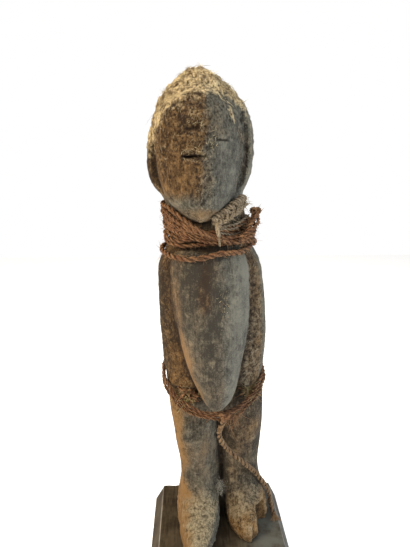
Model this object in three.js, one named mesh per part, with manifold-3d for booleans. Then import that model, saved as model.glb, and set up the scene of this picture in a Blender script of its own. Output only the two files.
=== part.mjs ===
// A power figure: a standing person carved from one log, weathered and crusted, with cord wound
// about the neck and the hips, fixed on a low black stand.
// Millimetres, +Z up. The origin is the middle of the stand's underside, and the figure faces -Y.

import * as THREE from 'three';
import { mergeVertices } from 'three/addons/utils/BufferGeometryUtils.js';
import Module from 'manifold-3d';

const wasm = await Module();
wasm.setup();

// The stand is a flat block whose four sides slope out to its foot.
const standTopSide = 112;
const standFootSide = 130;
const standHeight = 24;

// Each table below is a carved form, read upwards. A row is one level section: its height, the X of
// its middle, half its width, the Y of its front, of its widest line and of its back, and how square
// it is, where 2 is an ellipse.

// The log: back, arms, shoulders, neck, and the head with a flap at each side.
const logSections = [
  [168, -5.5, 42.0, -4, 18, 46, 2.8],
  [175, -5.9, 42.0, -4, 18, 46, 2.8],
  [182, -6.2, 43.2, -4, 18, 47, 2.8],
  [196, -6.2, 44.1, -4, 17, 48, 2.8],
  [212, -6.4, 44.9, -4, 17, 49, 2.8],
  [228, -7.2, 45.0, -4, 16, 50, 2.8],
  [246, -8.4, 44.3, -5, 16, 50, 2.8],
  [260, -9.4, 43.6, -6, 16, 49, 2.7],
  [270, -10.0, 42.8, -7, 15, 48, 2.6],
  [278, -10.2, 40.6, -9, 15, 46, 2.4],
  [284, -10.2, 37.2, -11, 15, 44, 2.3],
  [291, -10.4, 33.8, -12, 15, 42, 2.2],
  [302, -11.0, 31.6, -13, 15, 41, 2.2],
  [314, -12.8, 31.2, -13, 15, 42, 2.2],
  [324, -14.8, 31.3, -12, 16, 44, 2.2],
  [331, -16.6, 33.6, -8, 17, 47, 2.2],
  [338, -17.8, 38.0, -5, 18, 49, 2.2],
  [347, -18.0, 41.0, -4, 18, 51, 2.2],
  [358, -17.5, 41.9, -4, 18, 52, 2.2],
  [369, -17.2, 41.3, -5, 18, 52, 2.2],
  [380, -16.6, 39.2, -8, 17, 50, 2.2],
  [391, -16.8, 35.2, -10, 16, 47, 2.2],
  [401, -17.8, 28.8, -10, 15, 42, 2.2],
  [409, -18.6, 21.6, -6, 14, 36, 2.2],
  [415, -19.2, 14.6, -1, 13, 29, 2.1],
  [419.5, -20.0, 7.6, 5, 12, 20, 2.0],
];
const crownRise = 1.8;

// The face: a long shield that stands forward of the flaps and ends in the chin.
const faceSections = [
  [310, -17.8, 5.0, -24, -8, 10, 2.0],
  [313, -17.9, 11.0, -27.5, -6, 14, 2.1],
  [318, -18.0, 17.6, -29.5, -3, 16, 2.2],
  [325, -18.2, 24.6, -31.0, 0, 18, 2.3],
  [334, -18.8, 28.0, -32.0, 2, 20, 2.3],
  [345, -19.3, 30.6, -32.5, 3, 20, 2.3],
  [357, -19.6, 31.6, -32.5, 3, 20, 2.3],
  [368, -20.2, 32.0, -32.5, 3, 20, 2.3],
  [378, -20.4, 31.0, -32.0, 3, 20, 2.2],
  [387, -20.6, 28.0, -29.0, 3, 20, 2.2],
  [395, -20.4, 23.0, -24.0, 4, 20, 2.1],
  [402, -20.2, 16.4, -17.0, 5, 20, 2.0],
  [407, -20.0, 9.0, -9.0, 6, 18, 2.0],
];

// Chest and belly: a barrel that narrows to a blunt point hanging before the thighs.
const bellySections = [
  [156, -5.2, 4.4, -19.5, -12, -2, 2.0],
  [158, -5.2, 8.6, -22.5, -8, 8, 2.0],
  [162, -5.1, 12.4, -24.8, -2, 16, 2.1],
  [168, -5.1, 15.6, -26.8, 3, 20, 2.2],
  [175, -5.4, 18.6, -28.0, 5, 20, 2.2],
  [184, -6.4, 21.6, -28.6, 6, 20, 2.2],
  [196, -7.3, 24.4, -28.6, 6, 20, 2.2],
  [208, -7.8, 27.2, -28.2, 6, 20, 2.2],
  [221, -8.2, 29.4, -27.4, 6, 20, 2.2],
  [234, -8.7, 31.4, -26.4, 6, 20, 2.2],
  [248, -9.5, 32.6, -25.4, 6, 20, 2.2],
  [264, -10.2, 33.0, -24.6, 6, 20, 2.2],
  [276, -10.8, 32.6, -23.6, 6, 20, 2.2],
  [283, -11.0, 31.0, -21.6, 6, 20, 2.2],
  [287, -11.0, 28.4, -18.6, 6, 20, 2.2],
];

// The hips, which join the thighs above the slit between the legs.
const hipSections = [
  [132, -3.0, 30.0, 8, 26, 40, 2.4],
  [136, -3.2, 36.0, 4, 26, 45, 2.4],
  [146, -3.8, 39.5, 2, 26, 49, 2.5],
  [160, -4.4, 41.0, 2, 26, 51, 2.5],
  [174, -5.0, 41.0, 4, 26, 51, 2.6],
  [190, -5.6, 39.0, 8, 26, 47, 2.6],
];

// The legs. The foot on the left of a person looking at it is whole, and runs out to a blunt toe.
const leftLegSections = [
  [24, -19.8, 19.2, -37, 22, 45, 1.75],
  [28, -19.8, 20.0, -42, 22, 47, 1.75],
  [36, -19.8, 20.0, -42, 22, 47, 1.75],
  [42, -19.6, 19.8, -36, 22, 47, 1.75],
  [47, -19.4, 19.5, -25, 22, 46, 1.8],
  [52, -19.0, 19.2, -11, 23, 46, 1.9],
  [58, -18.0, 19.3, -2, 24, 45, 2.1],
  [66, -17.6, 18.8, 4, 25, 44, 2.2],
  [78, -17.6, 19.1, 5, 25, 43, 2.2],
  [92, -18.8, 19.6, 3, 25, 43, 2.2],
  [108, -20.4, 20.4, 1, 24, 44, 2.2],
  [126, -22.0, 21.2, 0, 24, 45, 2.3],
  [146, -24.2, 21.4, 0, 24, 46, 2.4],
  [164, -24.8, 21.8, 2, 24, 46, 2.4],
  [182, -24.8, 20.0, 6, 24, 44, 2.4],
];

// The other foot has lost its toes.
const rightLegSections = [
  [24, 25.4, 18.6, -17, 18, 45, 2.0],
  [29, 25.4, 19.8, -19, 18, 46, 2.0],
  [36, 25.2, 20.0, -16, 18, 46, 2.0],
  [43, 24.8, 19.8, -8, 19, 46, 2.0],
  [50, 24.0, 19.2, 0, 21, 46, 2.1],
  [57, 21.2, 19.6, 6, 25, 45, 2.2],
  [66, 19.8, 18.6, 8, 27, 44, 2.2],
  [78, 18.9, 18.4, 8, 27, 44, 2.2],
  [92, 18.9, 18.9, 6, 27, 44, 2.2],
  [108, 19.0, 19.7, 4, 26, 45, 2.2],
  [126, 19.0, 20.4, 2, 25, 45, 2.3],
  [146, 18.6, 20.2, 2, 24, 46, 2.4],
  [164, 17.4, 20.6, 4, 24, 46, 2.4],
  [182, 16.6, 19.0, 8, 24, 44, 2.4],
];

// The toe of the whole foot points a little outwards.
const toeShift = -3.5;

// The groove between the face and each flap, where 1 is the flap's edge.
const flapGroove = { low: 331, high: 391, depth: 6, place: 0.81, width: 0.075 };

// The groove behind each arm and the shallow one down the spine.
const armGroove = { low: 172, high: 266, depth: 3.5, place: 0.84, width: 0.07 };
const spineGroove = { low: 186, high: 300, depth: 3, width: 0.16 };

// Brow, nose, mouth and the one eye that still shows.
const brow = { z: 381, height: 5, rise: 2.2, width: 22 };
const browHollows = { z: 372, depth: 3.4, aside: 12, width: 9, height: 5 };
const nose = { x: -20.5, top: 384, tip: 362, under: 4, rise: 4.4, halfWidth: 3.4, wings: 3.2 };
const mouth = { x: -22.3, z: 356, width: 21, height: 1.8, depth: 3.2 };
const eye = { x: -2.4, z: 368.6, width: 8.5, height: 1.4, depth: 1.8, turn: 26 };

// The bite out of the broken foot: flat faces of split wood at its outer side and its tip.
const breakFaces = [
  { x: 46.4, y: -12, z: 33, width: 20, length: 38, height: 29, turn: -4, lean: 3 },
  { x: 35.6, y: -19.6, z: 30, width: 20, length: 34, height: 40, turn: -42, lean: -8 },
];

// The cord at the neck and the tail at the hips are as thick as each other.
const cordThickness = 4.5;
const touchingGap = 0.3;
// The room that the figure takes is cut with fewer columns, so it stands this much further off.
const roomSlack = 0.35;
const roomColumns = 0.6;
// The windings are measured at their corners, so they stand this much further off.
const windingGap = 1.0;

// Where a cord goes about the neck. A row is one place: how many turns in, counted from the left by
// way of the front, its height, and how far it stands off the wood.
const neckWinding = [
  [0.00, 292.4, 0.0], [0.25, 290.6, 0.2], [0.50, 296.6, 0.0], [0.75, 294.8, 0.0],
  [1.00, 297.6, 0.0], [1.25, 294.0, 3.8], [1.50, 301.8, 0.2], [1.75, 300.0, 0.0],
  [2.00, 302.8, 0.2], [2.25, 297.6, 0.2], [2.50, 307.0, 0.0], [2.75, 305.2, 0.0],
  [3.00, 308.2, 0.0], [3.25, 301.0, 3.8], [3.50, 312.2, 0.2], [3.75, 310.4, 0.0],
  [4.00, 313.6, 0.2], [4.25, 304.6, 0.2], [4.50, 317.4, 0.0], [4.75, 316.0, 0.0],
  [5.00, 319.8, 0.0], [5.12, 313.6, 3.6], [5.25, 303.6, 7.6], [5.36, 297.4, 7.2],
];
const pointsPerTurn = 20;
// A winding passes over to the chest in front, between these sines of its angle.
const chestStart = 0.15;
const chestEnd = 0.7;
// The orange end of the neck cord, which stands up off the right shoulder.
const cordStub = [
  [11, -21.5, 297.6], [17, -18.6, 301.2], [21.4, -13, 306.6], [23.4, -6.5, 311.6], [24.8, 0, 316.0],
];
const stubThickness = 6.5;

// The lower cord, which lies on the edge of the chest.
const collarWinding = [
  [0.00, 286.4, 0.2], [0.08, 283.8, 0.4], [0.17, 283.2, 0.6], [0.225, 284.4, 1.0], [0.256, 285.6, 1.4],
  [0.285, 287.2, 1.8], [0.32, 288.6, 1.8], [0.36, 289.4, 1.2], [0.42, 290.4, 0.6], [0.50, 291.0, 0.3],
  [0.75, 289.4, 0.2], [1.00, 286.4, 0.2],
];

// The plaited grey bundle under the right jaw.
const plaitWinding = [
  [0.262, 310.6, 6.2], [0.29, 314.8, 6.8], [0.315, 318.2, 6.6], [0.345, 321.8, 5.8], [0.385, 325.6, 4.2],
];
const plaitSize = { width: 11, thickness: 4.8 };

// The hip cord's route: a bundle of thin strands over the arms' ends and under the belly.
const hipRoute = [
  [-5.0, -12.6, 147.6], [-15, -11.2, 147.8], [-24, -8.8, 149.6], [-33, -5.8, 153.6],
  [-41.6, -1.6, 161.0], [-48.6, 7.4, 171.2], [-49.9, 20.0, 177], [-46.8, 37.0, 180],
  [-37.4, 46.0, 181.5], [-22, 51.8, 182], [-5, 53.4, 182], [10, 51.8, 181.6], [25.2, 46.6, 180.5],
  [35.2, 37.0, 178], [38.2, 20.0, 174.5], [35.6, 6.6, 170.4], [28.0, -3.2, 163.0],
  [19.2, -7.4, 155.6], [11.0, -10.6, 150.8], [3.0, -12.6, 148.4],
];
const hipBundle = { width: 3.4, height: 7.4, waist: 0.24, waistHeight: 0.5, steps: 38 };
const knot = { x: 1.2, y: -14.4, z: 148.0, size: 4.2 };

// The loose tail of the hip cord: down between the shins, across the right one, and onto the stand.
const tailRoute = [
  [0.2, -14.8, 143.2], [-1.3, -12.6, 137.6], [-2.3, -9.2, 131.8], [-2.3, -6.4, 125.6], [-0.8, -4.8, 119.4],
  [2.4, -3.8, 113.4], [6.6, -2.8, 107.4], [11.6, -1.8, 101.6], [17.0, -0.4, 95.6], [22.4, 1.8, 89.4],
  [27.4, 4.8, 83], [32.0, 8.6, 76], [36.2, 11.6, 68.6], [40.6, 13.8, 61], [44.8, 15.4, 53.4],
  [47.8, 17.0, 45.6], [49.4, 18.0, 38], [50.4, 17.8, 31.6], [51.2, 16.2, 27.8], [51.9, 13.0, 26.6],
  [52.4, 9.4, 26.5],
];

// The tufts of raffia under the ends of the arms.
const tufts = {
  raffia_left: { x: -28.5, y: -1.6, z: 160.6, width: 13.5, thickness: 4.2, height: 6.8, turn: 26 },
  raffia_right: { x: 24.5, y: 1.2, z: 163.0, width: 9.5, thickness: 4.0, height: 6.0, turn: -36 },
};

const materials = {
  wood: new THREE.MeshStandardMaterial({ color: 0x6b5b47, roughness: 0.88, metalness: 0 }),
  stand: new THREE.MeshStandardMaterial({ color: 0x3a332b, roughness: 0.55, metalness: 0 }),
  cord: new THREE.MeshStandardMaterial({ color: 0x8a5638, roughness: 0.92, metalness: 0 }),
  greyCord: new THREE.MeshStandardMaterial({ color: 0x857a67, roughness: 0.92, metalness: 0 }),
  raffia: new THREE.MeshStandardMaterial({ color: 0x8c8058, roughness: 0.92, metalness: 0 }),
};

// Values at a height, on smooth cubic curves through the rows of a table.
function rowAt(table, height) {
  const last = table.length - 1;
  const z = THREE.MathUtils.clamp(height, table[0][0], table[last][0]);
  let low = 0;
  while (low < last - 1 && table[low + 1][0] < z) low += 1;
  const span = table[low + 1][0] - table[low][0];
  const t = (z - table[low][0]) / span;
  const slope = (row, column) => {
    const before = table[Math.max(row - 1, 0)];
    const after = table[Math.min(row + 1, last)];
    return (after[column] - before[column]) / (after[0] - before[0]);
  };
  return table[low].map((start, column) => {
    if (column === 0) return z;
    const end = table[low + 1][column];
    const risen = t * t * (3 - 2 * t);
    const leaving = t * (1 - t) * (1 - t) * span * slope(low, column);
    const arriving = t * t * (1 - t) * span * slope(low + 1, column);
    return start + (end - start) * risen + leaving - arriving;
  });
}

// A point on a section's outline. The angle runs from +X through the back, and a quarter turn
// before +X is the front. Growth moves the outline outwards.
function outline([z, middle, half, front, wide, back, square], angle, growth = 0) {
  const bulge = (value) => Math.sign(value) * Math.abs(value) ** (2 / square);
  const across = bulge(Math.cos(angle));
  const along = bulge(Math.sin(angle));
  const depth = along < 0 ? wide - front : back - wide;
  return new THREE.Vector3(middle + (half + growth) * across, wide + (depth + growth) * along, z);
}

// A closed skin over rings of points, each with the same count, from the lowest to the highest.
function skin(rings, lowCentre, highCentre) {
  const columns = rings[0].length;
  const positions = [...rings.flat(), lowCentre, highCentre].flatMap((point) => point.toArray());
  const faces = [];
  const lowest = rings.length * columns;
  const highest = lowest + 1;
  const top = (rings.length - 1) * columns;
  for (let column = 0; column < columns; column += 1) {
    const next = (column + 1) % columns;
    for (let row = 0; row < rings.length - 1; row += 1) {
      const base = row * columns;
      faces.push(base + column, base + next, base + columns + next);
      faces.push(base + column, base + columns + next, base + columns + column);
    }
    faces.push(lowest, next, column);
    faces.push(highest, top + column, top + next);
  }
  const geometry = new THREE.BufferGeometry();
  geometry.setAttribute('position', new THREE.Float32BufferAttribute(positions, 3));
  geometry.setIndex(faces);
  return geometry;
}

function toSolid(geometry) {
  const bare = geometry.clone();
  bare.deleteAttribute('normal');
  bare.deleteAttribute('uv');
  const merged = mergeVertices(bare, 1e-4);
  return new wasm.Manifold(new wasm.Mesh({
    numProp: 3,
    vertProperties: Float32Array.from(merged.attributes.position.array),
    triVerts: Uint32Array.from(merged.index.array),
  }));
}

function toGeometry(solid) {
  const mesh = solid.getMesh();
  const geometry = new THREE.BufferGeometry();
  geometry.setAttribute('position', new THREE.BufferAttribute(mesh.vertProperties, 3));
  geometry.setIndex(new THREE.BufferAttribute(mesh.triVerts, 1));
  geometry.computeVertexNormals();
  return geometry;
}

// A carved form over a table of sections, with a level step of about rowHeight.
function carve(table, { columns, rowHeight, growth = 0, shape = null, rise = 0 }) {
  const heights = [table[0][0]];
  for (let row = 1; row < table.length; row += 1) {
    const span = table[row][0] - table[row - 1][0];
    const steps = Math.max(1, Math.round(span / rowHeight));
    for (let step = 1; step <= steps; step += 1) {
      heights.push(table[row - 1][0] + (span * step) / steps);
    }
  }
  const rings = heights.map((height) => {
    const section = rowAt(table, height);
    return Array.from({ length: columns }, (_, column) => {
      const angle = ((column + 0.5) / columns) * 2 * Math.PI;
      const point = outline(section, angle, growth);
      return shape ? shape(point, section) : point;
    });
  });
  const centre = (ring) => ring.reduce((sum, point) => sum.add(point), new THREE.Vector3())
    .divideScalar(columns);
  const lowest = centre(rings[0]);
  const highest = centre(rings[rings.length - 1]);
  lowest.z -= growth;
  highest.z += rise + growth;
  return toSolid(skin(rings, lowest, highest));
}

const grooveFade = 6;
const spineFade = 14;

// 1 between two heights, falling off smoothly over a margin outside them.
function between(z, low, high, margin = grooveFade) {
  const { smoothstep } = THREE.MathUtils;
  return smoothstep(z, low - margin, low + margin) * (1 - smoothstep(z, high - margin, high + margin));
}

const bell = (offset, width) => Math.exp(-((offset / width) ** 2));

// The grooves of the log: in front of each flap, behind each arm and down the spine.
function grooveLog(point, [z, middle, half, , wide]) {
  const side = Math.abs(point.x - middle) / half;
  if (point.y < wide) {
    const inFlap = between(z, flapGroove.low, flapGroove.high);
    point.y += flapGroove.depth * bell(side - flapGroove.place, flapGroove.width) * inFlap;
    return point;
  }
  const inArm = between(z, armGroove.low, armGroove.high);
  const inSpine = between(z, spineGroove.low, spineGroove.high, spineFade);
  point.y -= armGroove.depth * bell(side - armGroove.place, armGroove.width) * inArm;
  point.y -= spineGroove.depth * bell(side, spineGroove.width) * inSpine;
  return point;
}

// The brow's step and the nose, pushed out of the face's shield.
function featureFace(point, [, , , , wide]) {
  if (point.y > wide) return point;
  const { smoothstep } = THREE.MathUtils;
  const aside = point.x - nose.x;
  const down = THREE.MathUtils.clamp((nose.top - point.z) / (nose.top - nose.tip), 0, 1);
  const under = 1 - smoothstep(nose.tip - point.z, 0, nose.under);
  const width = nose.halfWidth + nose.wings * down * down;
  const noseRise = nose.rise * down * under * bell(aside, width);
  const browRise = brow.rise * bell(point.z - brow.z, brow.height) * bell(aside, brow.width);
  const hollow = browHollows.depth * bell(point.z - browHollows.z, browHollows.height)
    * bell(Math.abs(aside) - browHollows.aside, browHollows.width);
  point.y += hollow - noseRise - browRise;
  return point;
}

function shiftToe(point, [, , , front, wide]) {
  const forward = THREE.MathUtils.clamp((wide - point.y) / (wide - front), 0, 1);
  point.x += toeShift * forward * forward;
  return point;
}

// A block with its middle at the origin, as a solid, turned about +Z and then moved.
function block({ x, y, z, width, length, height, turn = 0, lean = 0 }) {
  const geometry = new THREE.BoxGeometry(width, length, height);
  geometry.rotateX(THREE.MathUtils.degToRad(lean));
  geometry.rotateZ(THREE.MathUtils.degToRad(turn));
  geometry.translate(x, y, z);
  return toSolid(geometry);
}

// A slot pressed into the front of the face at an X and a height.
function slot({ x, z, width, height, depth, turn = 0 }) {
  const section = rowAt(faceSections, z);
  const side = (x - section[1]) / section[2];
  const reach = (1 - Math.abs(side) ** section[6]) ** (1 / section[6]);
  const y = section[4] - (section[4] - section[3]) * reach;
  return block({ x, y, z, width, length: 2 * depth, height, turn });
}

function bodySolid(growth = 0, columnShare = 1) {
  const columns = (count) => Math.round(count * columnShare);
  return [
    carve(logSections, { columns: columns(40), rowHeight: 10, growth, shape: grooveLog, rise: crownRise }),
    carve(faceSections, { columns: columns(36), rowHeight: 5, growth, shape: featureFace, rise: 1 }),
    carve(bellySections, { columns: columns(32), rowHeight: 14, growth }),
    carve(hipSections, { columns: columns(20), rowHeight: 16, growth }),
    carve(leftLegSections, { columns: columns(22), rowHeight: 14, growth, shape: shiftToe }),
    breakFaces.reduce(
      (foot, face) => foot.subtract(block(face)),
      carve(rightLegSections, { columns: columns(22), rowHeight: 14, growth }),
    ),
  ].reduce((sum, part) => sum.add(part));
}

function figureSolid() {
  return bodySolid().subtract(slot(mouth)).subtract(slot(eye));
}

// The room that the figure takes from what touches it, with fewer and so slightly wider faces.
function figureRoomSolid() {
  return bodySolid(touchingGap + roomSlack, roomColumns);
}

const roundSection = (radius, sides) => Array.from({ length: sides }, (_, index) => {
  const angle = ((index + 0.5) / sides) * 2 * Math.PI;
  return [Math.cos(angle) * radius, Math.sin(angle) * radius];
});

// A section carried along points and kept upright. A closed one joins its own start.
function carried(points, section, { closed = false, steps = 24 } = {}) {
  const curve = new THREE.CatmullRomCurve3(points, closed, 'centripetal');
  const rings = [];
  for (let step = 0; step < steps + (closed ? 0 : 1); step += 1) {
    const t = step / steps;
    const centre = curve.getPointAt(t);
    const tangent = curve.getTangentAt(t);
    const side = new THREE.Vector3(0, 0, 1).cross(tangent).normalize();
    const up = new THREE.Vector3().crossVectors(tangent, side);
    rings.push(section.map(([across, along]) => centre.clone()
      .addScaledVector(side, across)
      .addScaledVector(up, along)));
  }
  if (!closed) return toSolid(skin(rings, curve.getPointAt(0), curve.getPointAt(1)));
  const sides = section.length;
  const faces = [];
  rings.forEach((_, row) => {
    const next = (row + 1) % rings.length;
    for (let index = 0; index < sides; index += 1) {
      const beside = (index + 1) % sides;
      faces.push(row * sides + index, row * sides + beside, next * sides + beside);
      faces.push(row * sides + index, next * sides + beside, next * sides + index);
    }
  });
  const geometry = new THREE.BufferGeometry();
  const positions = rings.flat().flatMap((point) => point.toArray());
  geometry.setAttribute('position', new THREE.Float32BufferAttribute(positions, 3));
  geometry.setIndex(faces);
  return toSolid(geometry);
}

const vectors = (rows) => rows.map((row) => new THREE.Vector3(...row));

// Points of a winding about the log, or one that passes over to the top of the chest in front.
function woundAbout(winding, halfThickness, { closed = false, onChest = false } = {}) {
  const first = winding[0][0];
  const turns = winding[winding.length - 1][0] - first;
  const count = Math.ceil(turns * pointsPerTurn);
  return Array.from({ length: closed ? count : count + 1 }, (_, index) => {
    const place = first + (turns * index) / count;
    const [, z, out] = rowAt(winding, place);
    const angle = Math.PI * (1 + 2 * place);
    const reach = halfThickness + windingGap + out;
    const onLog = outline(rowAt(logSections, z), angle, reach);
    if (!onChest) return onLog;
    const onBelly = outline(rowAt(bellySections, z), angle, reach);
    return onLog.lerp(onBelly, THREE.MathUtils.smoothstep(-Math.sin(angle), chestStart, chestEnd));
  });
}

function neckCordSolid(growth = 0) {
  const radius = cordThickness / 2;
  const path = woundAbout(neckWinding, radius);
  const wound = carried(path, roundSection(radius + growth, 5), { steps: path.length - 1 });
  const stub = carried(vectors(cordStub), roundSection(stubThickness / 2 + growth, 6), { steps: 6 });
  return wound.add(stub);
}

function collarCordSolid() {
  const path = woundAbout(collarWinding, cordThickness / 2, { closed: true, onChest: true });
  return carried(path, roundSection(cordThickness / 2, 6), { closed: true, steps: 28 });
}

function plaitSolid() {
  const path = woundAbout(plaitWinding, plaitSize.thickness / 2);
  const section = roundSection(0.5, 8).map(([x, y]) => [x * plaitSize.thickness, y * plaitSize.width]);
  return carried(path, section, { steps: 7 });
}

// The hip cord is carried as one bundle, waisted between its strands, with a knot in front.
function hipCordSolid(growth = 0) {
  const { width, height, waist, waistHeight, steps } = hipBundle;
  const section = roundSection(1, 8).map(([x, y]) => {
    const narrowed = 1 - waist * bell(y, waistHeight);
    return [x * narrowed * (width / 2 + growth), y * (height / 2 + growth)];
  });
  const bundle = carried(vectors(hipRoute), section, { closed: true, steps });
  const ball = new THREE.IcosahedronGeometry(knot.size + growth, 1);
  ball.translate(knot.x, knot.y, knot.z);
  return bundle.add(toSolid(ball));
}

// The free tail, a round section carried along its route.
function tailGeometry() {
  const section = new THREE.Shape();
  section.absarc(0, 0, cordThickness / 2, 0, 2 * Math.PI);
  return new THREE.ExtrudeGeometry(section, {
    curveSegments: 4,
    steps: 16,
    bevelEnabled: false,
    extrudePath: new THREE.CatmullRomCurve3(vectors(tailRoute), false, 'centripetal'),
  });
}

function tuftSolid({ x, y, z, width, thickness, height, turn }) {
  const geometry = new THREE.IcosahedronGeometry(1, 1);
  geometry.scale(width, thickness, height);
  geometry.rotateY(THREE.MathUtils.degToRad(turn));
  geometry.translate(x, y, z);
  return toSolid(geometry);
}

function standGeometry() {
  const rings = [[standFootSide, 0], [standTopSide, standHeight]].map(([side, z]) => {
    const corners = [[1, -1], [1, 1], [-1, 1], [-1, -1]];
    return corners.map(([x, y]) => new THREE.Vector3((x * side) / 2, (y * side) / 2, z));
  });
  return skin(rings, new THREE.Vector3(0, 0, 0), new THREE.Vector3(0, 0, standHeight));
}

const figure = figureSolid();
const figureRoom = figureRoomSolid();
const neckCordRoom = neckCordSolid(touchingGap);
const hipCordRoom = hipCordSolid(touchingGap);

const pieces = [
  ['figure', toGeometry(figure), materials.wood],
  ['stand', standGeometry(), materials.stand],
  ['neck_cord', toGeometry(neckCordSolid()), materials.cord],
  ['collar_cord', toGeometry(collarCordSolid().subtract(figureRoom)), materials.cord],
  ['neck_plait', toGeometry(plaitSolid().subtract(figureRoom).subtract(neckCordRoom)), materials.greyCord],
  ['hip_cord', toGeometry(hipCordSolid().subtract(figureRoom)), materials.cord],
  ['hip_cord_tail', tailGeometry(), materials.cord],
  ...Object.entries(tufts).map(([name, size]) => {
    const tuft = tuftSolid(size).subtract(figureRoom).subtract(hipCordRoom);
    return [name, toGeometry(tuft), materials.raffia];
  }),
];

const powerFigure = new THREE.Group();
for (const [name, geometry, material] of pieces) {
  const mesh = new THREE.Mesh(geometry, material);
  mesh.name = name;
  powerFigure.add(mesh);
}

export default powerFigure;
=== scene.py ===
import math

import bmesh
import bpy
import numpy as np
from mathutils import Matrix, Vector


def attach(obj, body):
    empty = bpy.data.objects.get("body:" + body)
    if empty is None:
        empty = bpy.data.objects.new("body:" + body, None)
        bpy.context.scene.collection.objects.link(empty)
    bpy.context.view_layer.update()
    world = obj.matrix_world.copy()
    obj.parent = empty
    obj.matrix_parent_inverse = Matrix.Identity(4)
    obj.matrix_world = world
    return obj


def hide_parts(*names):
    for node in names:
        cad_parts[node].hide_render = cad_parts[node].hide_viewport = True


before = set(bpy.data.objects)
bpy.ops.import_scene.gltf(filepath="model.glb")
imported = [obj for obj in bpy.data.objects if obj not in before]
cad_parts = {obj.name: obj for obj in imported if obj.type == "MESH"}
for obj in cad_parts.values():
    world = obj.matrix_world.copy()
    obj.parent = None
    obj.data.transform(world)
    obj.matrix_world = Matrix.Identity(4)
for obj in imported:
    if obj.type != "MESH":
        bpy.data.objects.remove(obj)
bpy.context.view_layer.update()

# A power figure of weathered wood, bound with cord, on a black stand. Forms are worked out in
# millimetres in the part's frame, +Z up with the figure facing -Y, and become metres in a mesh.
mm = 0.001
dice = np.random.default_rng(27)


# Blends

def smoothStep(value, low, high):
    t = np.clip((value - low) / (high - low), 0, 1)
    return t * t * (3 - 2 * t)


def between(value, low, high, margin):   # 1 inside the range, fading out over the margins
    return smoothStep(value, low - margin, low + margin) * (1 - smoothStep(value, high - margin, high + margin))


def bell(offset, width):
    return np.exp(-(offset / width) ** 2)


def unit(vectors):
    return vectors / np.maximum(np.linalg.norm(vectors, axis=-1, keepdims=True), 1e-9)


# Noise

# A number from 0 to 1 for each whole cell: the cell's numbers are multiplied by large primes,
# added, and mixed by shifts.
def cellNumber(cell, seed):
    mixed = (cell[..., 0] * 374761393 + cell[..., 1] * 668265263 + cell[..., 2] * 2147483629 + seed * 974634777)
    mixed = mixed & 0xffffffff
    mixed = ((mixed ^ (mixed >> 13)) * 1274126177) & 0xffffffff
    return ((mixed ^ (mixed >> 16)) & 0xffffffff) / 4294967296.0


# Smooth noise from -1 to 1: the numbers at a cell's eight corners, blended by an S curve each way.
def smoothNoise(points, size, seed):
    place = points / np.asarray(size, float)
    cell = np.floor(place).astype(np.int64)
    inside = place - cell
    inside = inside * inside * (3 - 2 * inside)
    total = np.zeros(len(points))
    for corner in np.ndindex(2, 2, 2):
        share = np.prod(np.where(corner, inside, 1 - inside), axis=1)
        total += share * cellNumber(cell + np.array(corner), seed)
    return 2 * total - 1


# Noise over noise: each layer is half the size and a share of the height of the one before.
def layeredNoise(points, size, layers, seed, share=0.5):
    size = np.broadcast_to(np.asarray(size, float), (3,))
    total = np.zeros(len(points))
    height = 1.0
    for layer in range(layers):
        total += height * smoothNoise(points, size / 2 ** layer, seed + 17 * layer)
        height *= share
    return total


# Distance to the nearest of one random point per cell, in cells: scoops with ridges between.
def scoopNoise(points, size, seed):
    place = points / np.asarray(size, float)
    cell = np.floor(place).astype(np.int64)
    nearest = np.full(len(points), 9.0)
    for step in np.ndindex(3, 3, 3):
        other = cell + np.array(step) - 1
        point = other + np.stack([cellNumber(other, seed + 5 * axis) for axis in range(3)], axis=1)
        nearest = np.minimum(nearest, np.linalg.norm(point - place, axis=1))
    return nearest


# Meshes

# Quads of a grid of points, rows by columns, round in its columns and, if closed, in its rows.
def gridFaces(rows, columns, closedRows=False, closedColumns=True):
    row = np.arange(rows if closedRows else rows - 1)[:, None]
    column = np.arange(columns if closedColumns else columns - 1)[None, :]
    nextRow = (row + 1) % rows
    nextColumn = (column + 1) % columns
    corners = [row * columns + column, row * columns + nextColumn,
               nextRow * columns + nextColumn, nextRow * columns + column]
    return np.stack(corners, axis=-1).reshape(-1, 4)


# A surface is its points and its groups of faces, each group with one count of corners. Tubes are
# given as a grid of tubes by rings by corners, and each one's ends are closed if its rings aren't.
def tubes(grids, closedRows=False):
    count, rows, columns = grids.shape[:3]
    starts = np.arange(count)[:, None, None] * rows * columns
    groups = [(starts + gridFaces(rows, columns, closedRows)).reshape(-1, 4)]
    if not closedRows:
        ends = np.arange(columns)
        caps = np.stack([ends[::-1], (rows - 1) * columns + ends])
        groups.append((starts + caps).reshape(-1, columns))
    return grids.reshape(-1, 3), groups


def joined(surfaces):
    points = np.concatenate([surface[0] for surface in surfaces])
    starts = np.cumsum([0] + [len(surface[0]) for surface in surfaces[:-1]])
    groups = [group + start for surface, start in zip(surfaces, starts) for group in surface[1]]
    return points, groups


def newMesh(name, surface):
    points, groups = surface
    mesh = bpy.data.meshes.new(name)
    mesh.vertices.add(len(points))
    mesh.vertices.foreach_set("co", (points * mm).ravel().astype(np.float32))
    corners = np.concatenate([group.ravel() for group in groups])
    counts = np.concatenate([np.full(len(group), group.shape[1]) for group in groups])
    mesh.loops.add(len(corners))
    mesh.loops.foreach_set("vertex_index", corners.astype(np.int32))
    mesh.polygons.add(len(counts))
    mesh.polygons.foreach_set("loop_start", (np.cumsum(counts) - counts).astype(np.int32))
    mesh.update(calc_edges=True)
    mesh.validate()
    mesh.polygons.foreach_set("use_smooth", np.ones(len(mesh.polygons), bool))
    return mesh


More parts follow.
